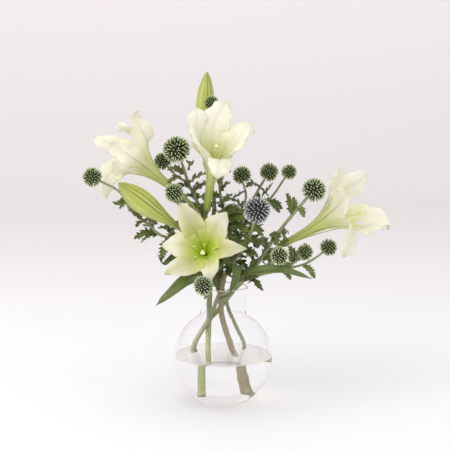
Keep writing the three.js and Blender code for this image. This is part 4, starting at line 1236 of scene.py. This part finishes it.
def head_look(name, core, middle, pale):
    """Thistle spike: its root a green darkened as painted shade between the spikes, pale at the point, each
    a little unlike its neighbours.
    """
    look = Look(name)
    reach, chance, _ = look.place()
    # Painted shade: the root end of each spike takes the dark root colour.
    tone = look.ramp(reach, ((0.0, core), (0.66, core), (0.80, middle), (0.95, pale), (1.0, pale)))
    tone = look.cover(tone, middle, chance, 0.2, 1.0, 0.0, 0.25)
    return look.done(look.surface(tone, 0.6, look.bump(look.noise(900.0, 2.0), 0.0002, 0.4)))


# ------------------------------------------------------------------ the bouquet
glass = clear_look("clear_glass", "#fefefe", 1.22, 0.0)
glass_lip_painted_highlight = lip_highlight_look()
water = clear_look("clear_water", "#fefefd", 1.33, 0.8)
water_surface = clear_look("clear_water_surface", "#fbf9f3", 1.33, 0.0)
# For each: the third number is painted light in the throat, the fourth olive painted shade.
petal = petal_look("lily_tepal", PALE_THROAT, 0.12, 0.08)
front_petal = petal_look("lily_tepal_lime", LIME_THROAT, 0.27, 0.12)
front_shaded_petal = petal_look("lily_tepal_painted_shade", LIME_THROAT, 0.27, 0.46)
pistil = pistil_look()
bud_green = bud_look()
lily_stem = stem_look("lily_stem_skin", "#7d8a48", "#a2ab6c", "#8f9566", "#9a8a62", 0.2)
thistle_stem = stem_look("thistle_stem_skin", "#7c8459", "#9da27b", "#94906b", "#a5876b", 0.6)
lily_leaf = leaf_look("lily_leaf_skin", "#55662f", "#6b7a42", "#7d8a5c", "#8f9a62", 0.5)
thistle_leaf = leaf_look("thistle_leaf_skin", "#45551a", "#76873a", "#98a26c", "#9ea868", 0.9)
thistle_green = head_look("globe_thistle_green", "#27340f", "#6a7c42", "#e4eac6")
thistle_blue = head_look("globe_thistle_blue", "#24281d", "#6d726c", "#d9dadc")
thistle_young = head_look("globe_thistle_young", "#2b3a10", "#62783a", "#c4cf9c")
head_looks = {number: thistle_green for number in range(1, len(HEADS) + 1)}
head_looks |= {number: thistle_blue for number in BLUE_HEADS}
head_looks |= {number: thistle_young for number in YOUNG_HEADS}

make_vase(glass, glass_lip_painted_highlight)
make_water(water, water_surface)
for name, flower in FLOWERS.items():
    if name == "front":
        make_tepals(name, flower, front_petal, {number: front_shaded_petal for number in SHADED_TEPALS})
    else:
        make_tepals(name, flower, petal, {})
    make_pistil(name, flower, pistil)
    make_filaments(name, flower, pistil)
for name, bud in BUDS.items():
    make_bud(name, bud, bud_green)
for name, branches in LILY_STEMS.items():
    make_lily_stem(name, branches, lily_stem)
for name, leaf in LILY_LEAVES.items():
    make_lily_leaf(name, leaf, lily_leaf)
for name, branches in THISTLE_STEMS.items():
    make_thistle_stem(name, branches, SPINY_LEAVES[name], thistle_stem, thistle_leaf)
    for route, _, head in branches:
        if head:
            towards_stem = unit(np.subtract(route[-1], HEADS[head - 1][0]))
            make_head(head, towards_stem, head_looks[head])


# ------------------------------------------------------------------ studio
def make_backdrop():
    """Pale floor that turns up into a wall far behind: y grows, then z, along a quarter circle."""
    depth, bend, height = 2.4, 0.9, 3.0
    turn = np.linspace(0, pi / 2, 24)
    line = np.concatenate([
        [(-3.0, 0.0)],
        np.stack([depth + bend * np.sin(turn), bend - bend * np.cos(turn)], 1),
        [(depth + bend, height)],
    ])
    x = np.array([-4.0, 4.0])
    points = np.stack([
        np.repeat(x, len(line)), np.tile(line[:, 0], 2), np.tile(line[:, 1], 2),
    ], 1)
    k = np.arange(len(line) - 1)
    quads = np.stack([k, k + len(line), k + len(line) + 1, k + 1], 1)
    mesh = bpy.data.meshes.new("backdrop")
    mesh.from_pydata(points.tolist(), [], quads.tolist())
    mesh.shade_smooth()
    look = Look("backdrop_paper")
    object_place = look.add("TexCoord").outputs["Object"]
    _, depth_place, height_place = look.add("SeparateXYZ", {0: object_place}).outputs
    # Painted light: the paper is greyer towards the back, as painted shade, and paler higher up the wall.
    tone = look.cover(colour("#ebebee"), "#e6e2e3", depth_place, 0.2, 1.7)
    tone = look.cover(tone, "#f1edec", height_place, 0.15, 1.0)
    body = look.add("BsdfPrincipled", {"Base Color": tone, "Roughness": 0.9, "Specular IOR Level": 0.1})
    mesh.materials.append(look.done(body.outputs[0]))
    made = bpy.data.objects.new("backdrop", mesh)
    bpy.context.scene.collection.objects.link(made)


def add_lamp(name, place, aim, size, power, tone):
    """Square area lamp at a place, turned towards a point."""
    data = bpy.data.lights.new(name, "AREA")
    data.shape = "SQUARE"
    data.size = size
    data.energy = power
    data.color = colour(tone)[:3]
    lamp = bpy.data.objects.new(name, data)
    bpy.context.scene.collection.objects.link(lamp)
    lamp.location = place
    ahead = unit(np.subtract(aim, place))
    lamp.rotation_euler = (float(np.arccos(-ahead[2])), 0, float(atan2(ahead[1], ahead[0]) - pi / 2))


def make_studio():
    """Large soft lamp from the upper left, a weak one from the right, and pale air all round."""
    world = bpy.data.worlds.new("studio")
    bpy.context.scene.world = world
    world.use_nodes = True
    background = world.node_tree.nodes["Background"]
    background.inputs["Color"].default_value = colour("#fbfafb")
    background.inputs["Strength"].default_value = 0.98
    add_lamp("key", (-1.5, -1.4, 2.2), (0, 0, 0.2), 2.4, 40, "#fffaf2")
    add_lamp("fill", (2.2, -1.4, 1.4), (0, 0, 0.25), 2.4, 7, "#f6f9ff")
    bpy.context.scene.view_settings.view_transform = "Standard"


def make_camera():
    """The photograph's view: along +Y and slightly down, without roll."""
    data = bpy.data.cameras.new("photograph")
    data.lens = CAMERA_LENS
    camera = bpy.data.objects.new("photograph", data)
    bpy.context.scene.collection.objects.link(camera)
    camera.location = CAMERA_PLACE
    camera.rotation_euler = (radians(90 - CAMERA_PITCH), 0, 0)
    bpy.context.scene.camera = camera


make_backdrop()
make_studio()
make_camera()
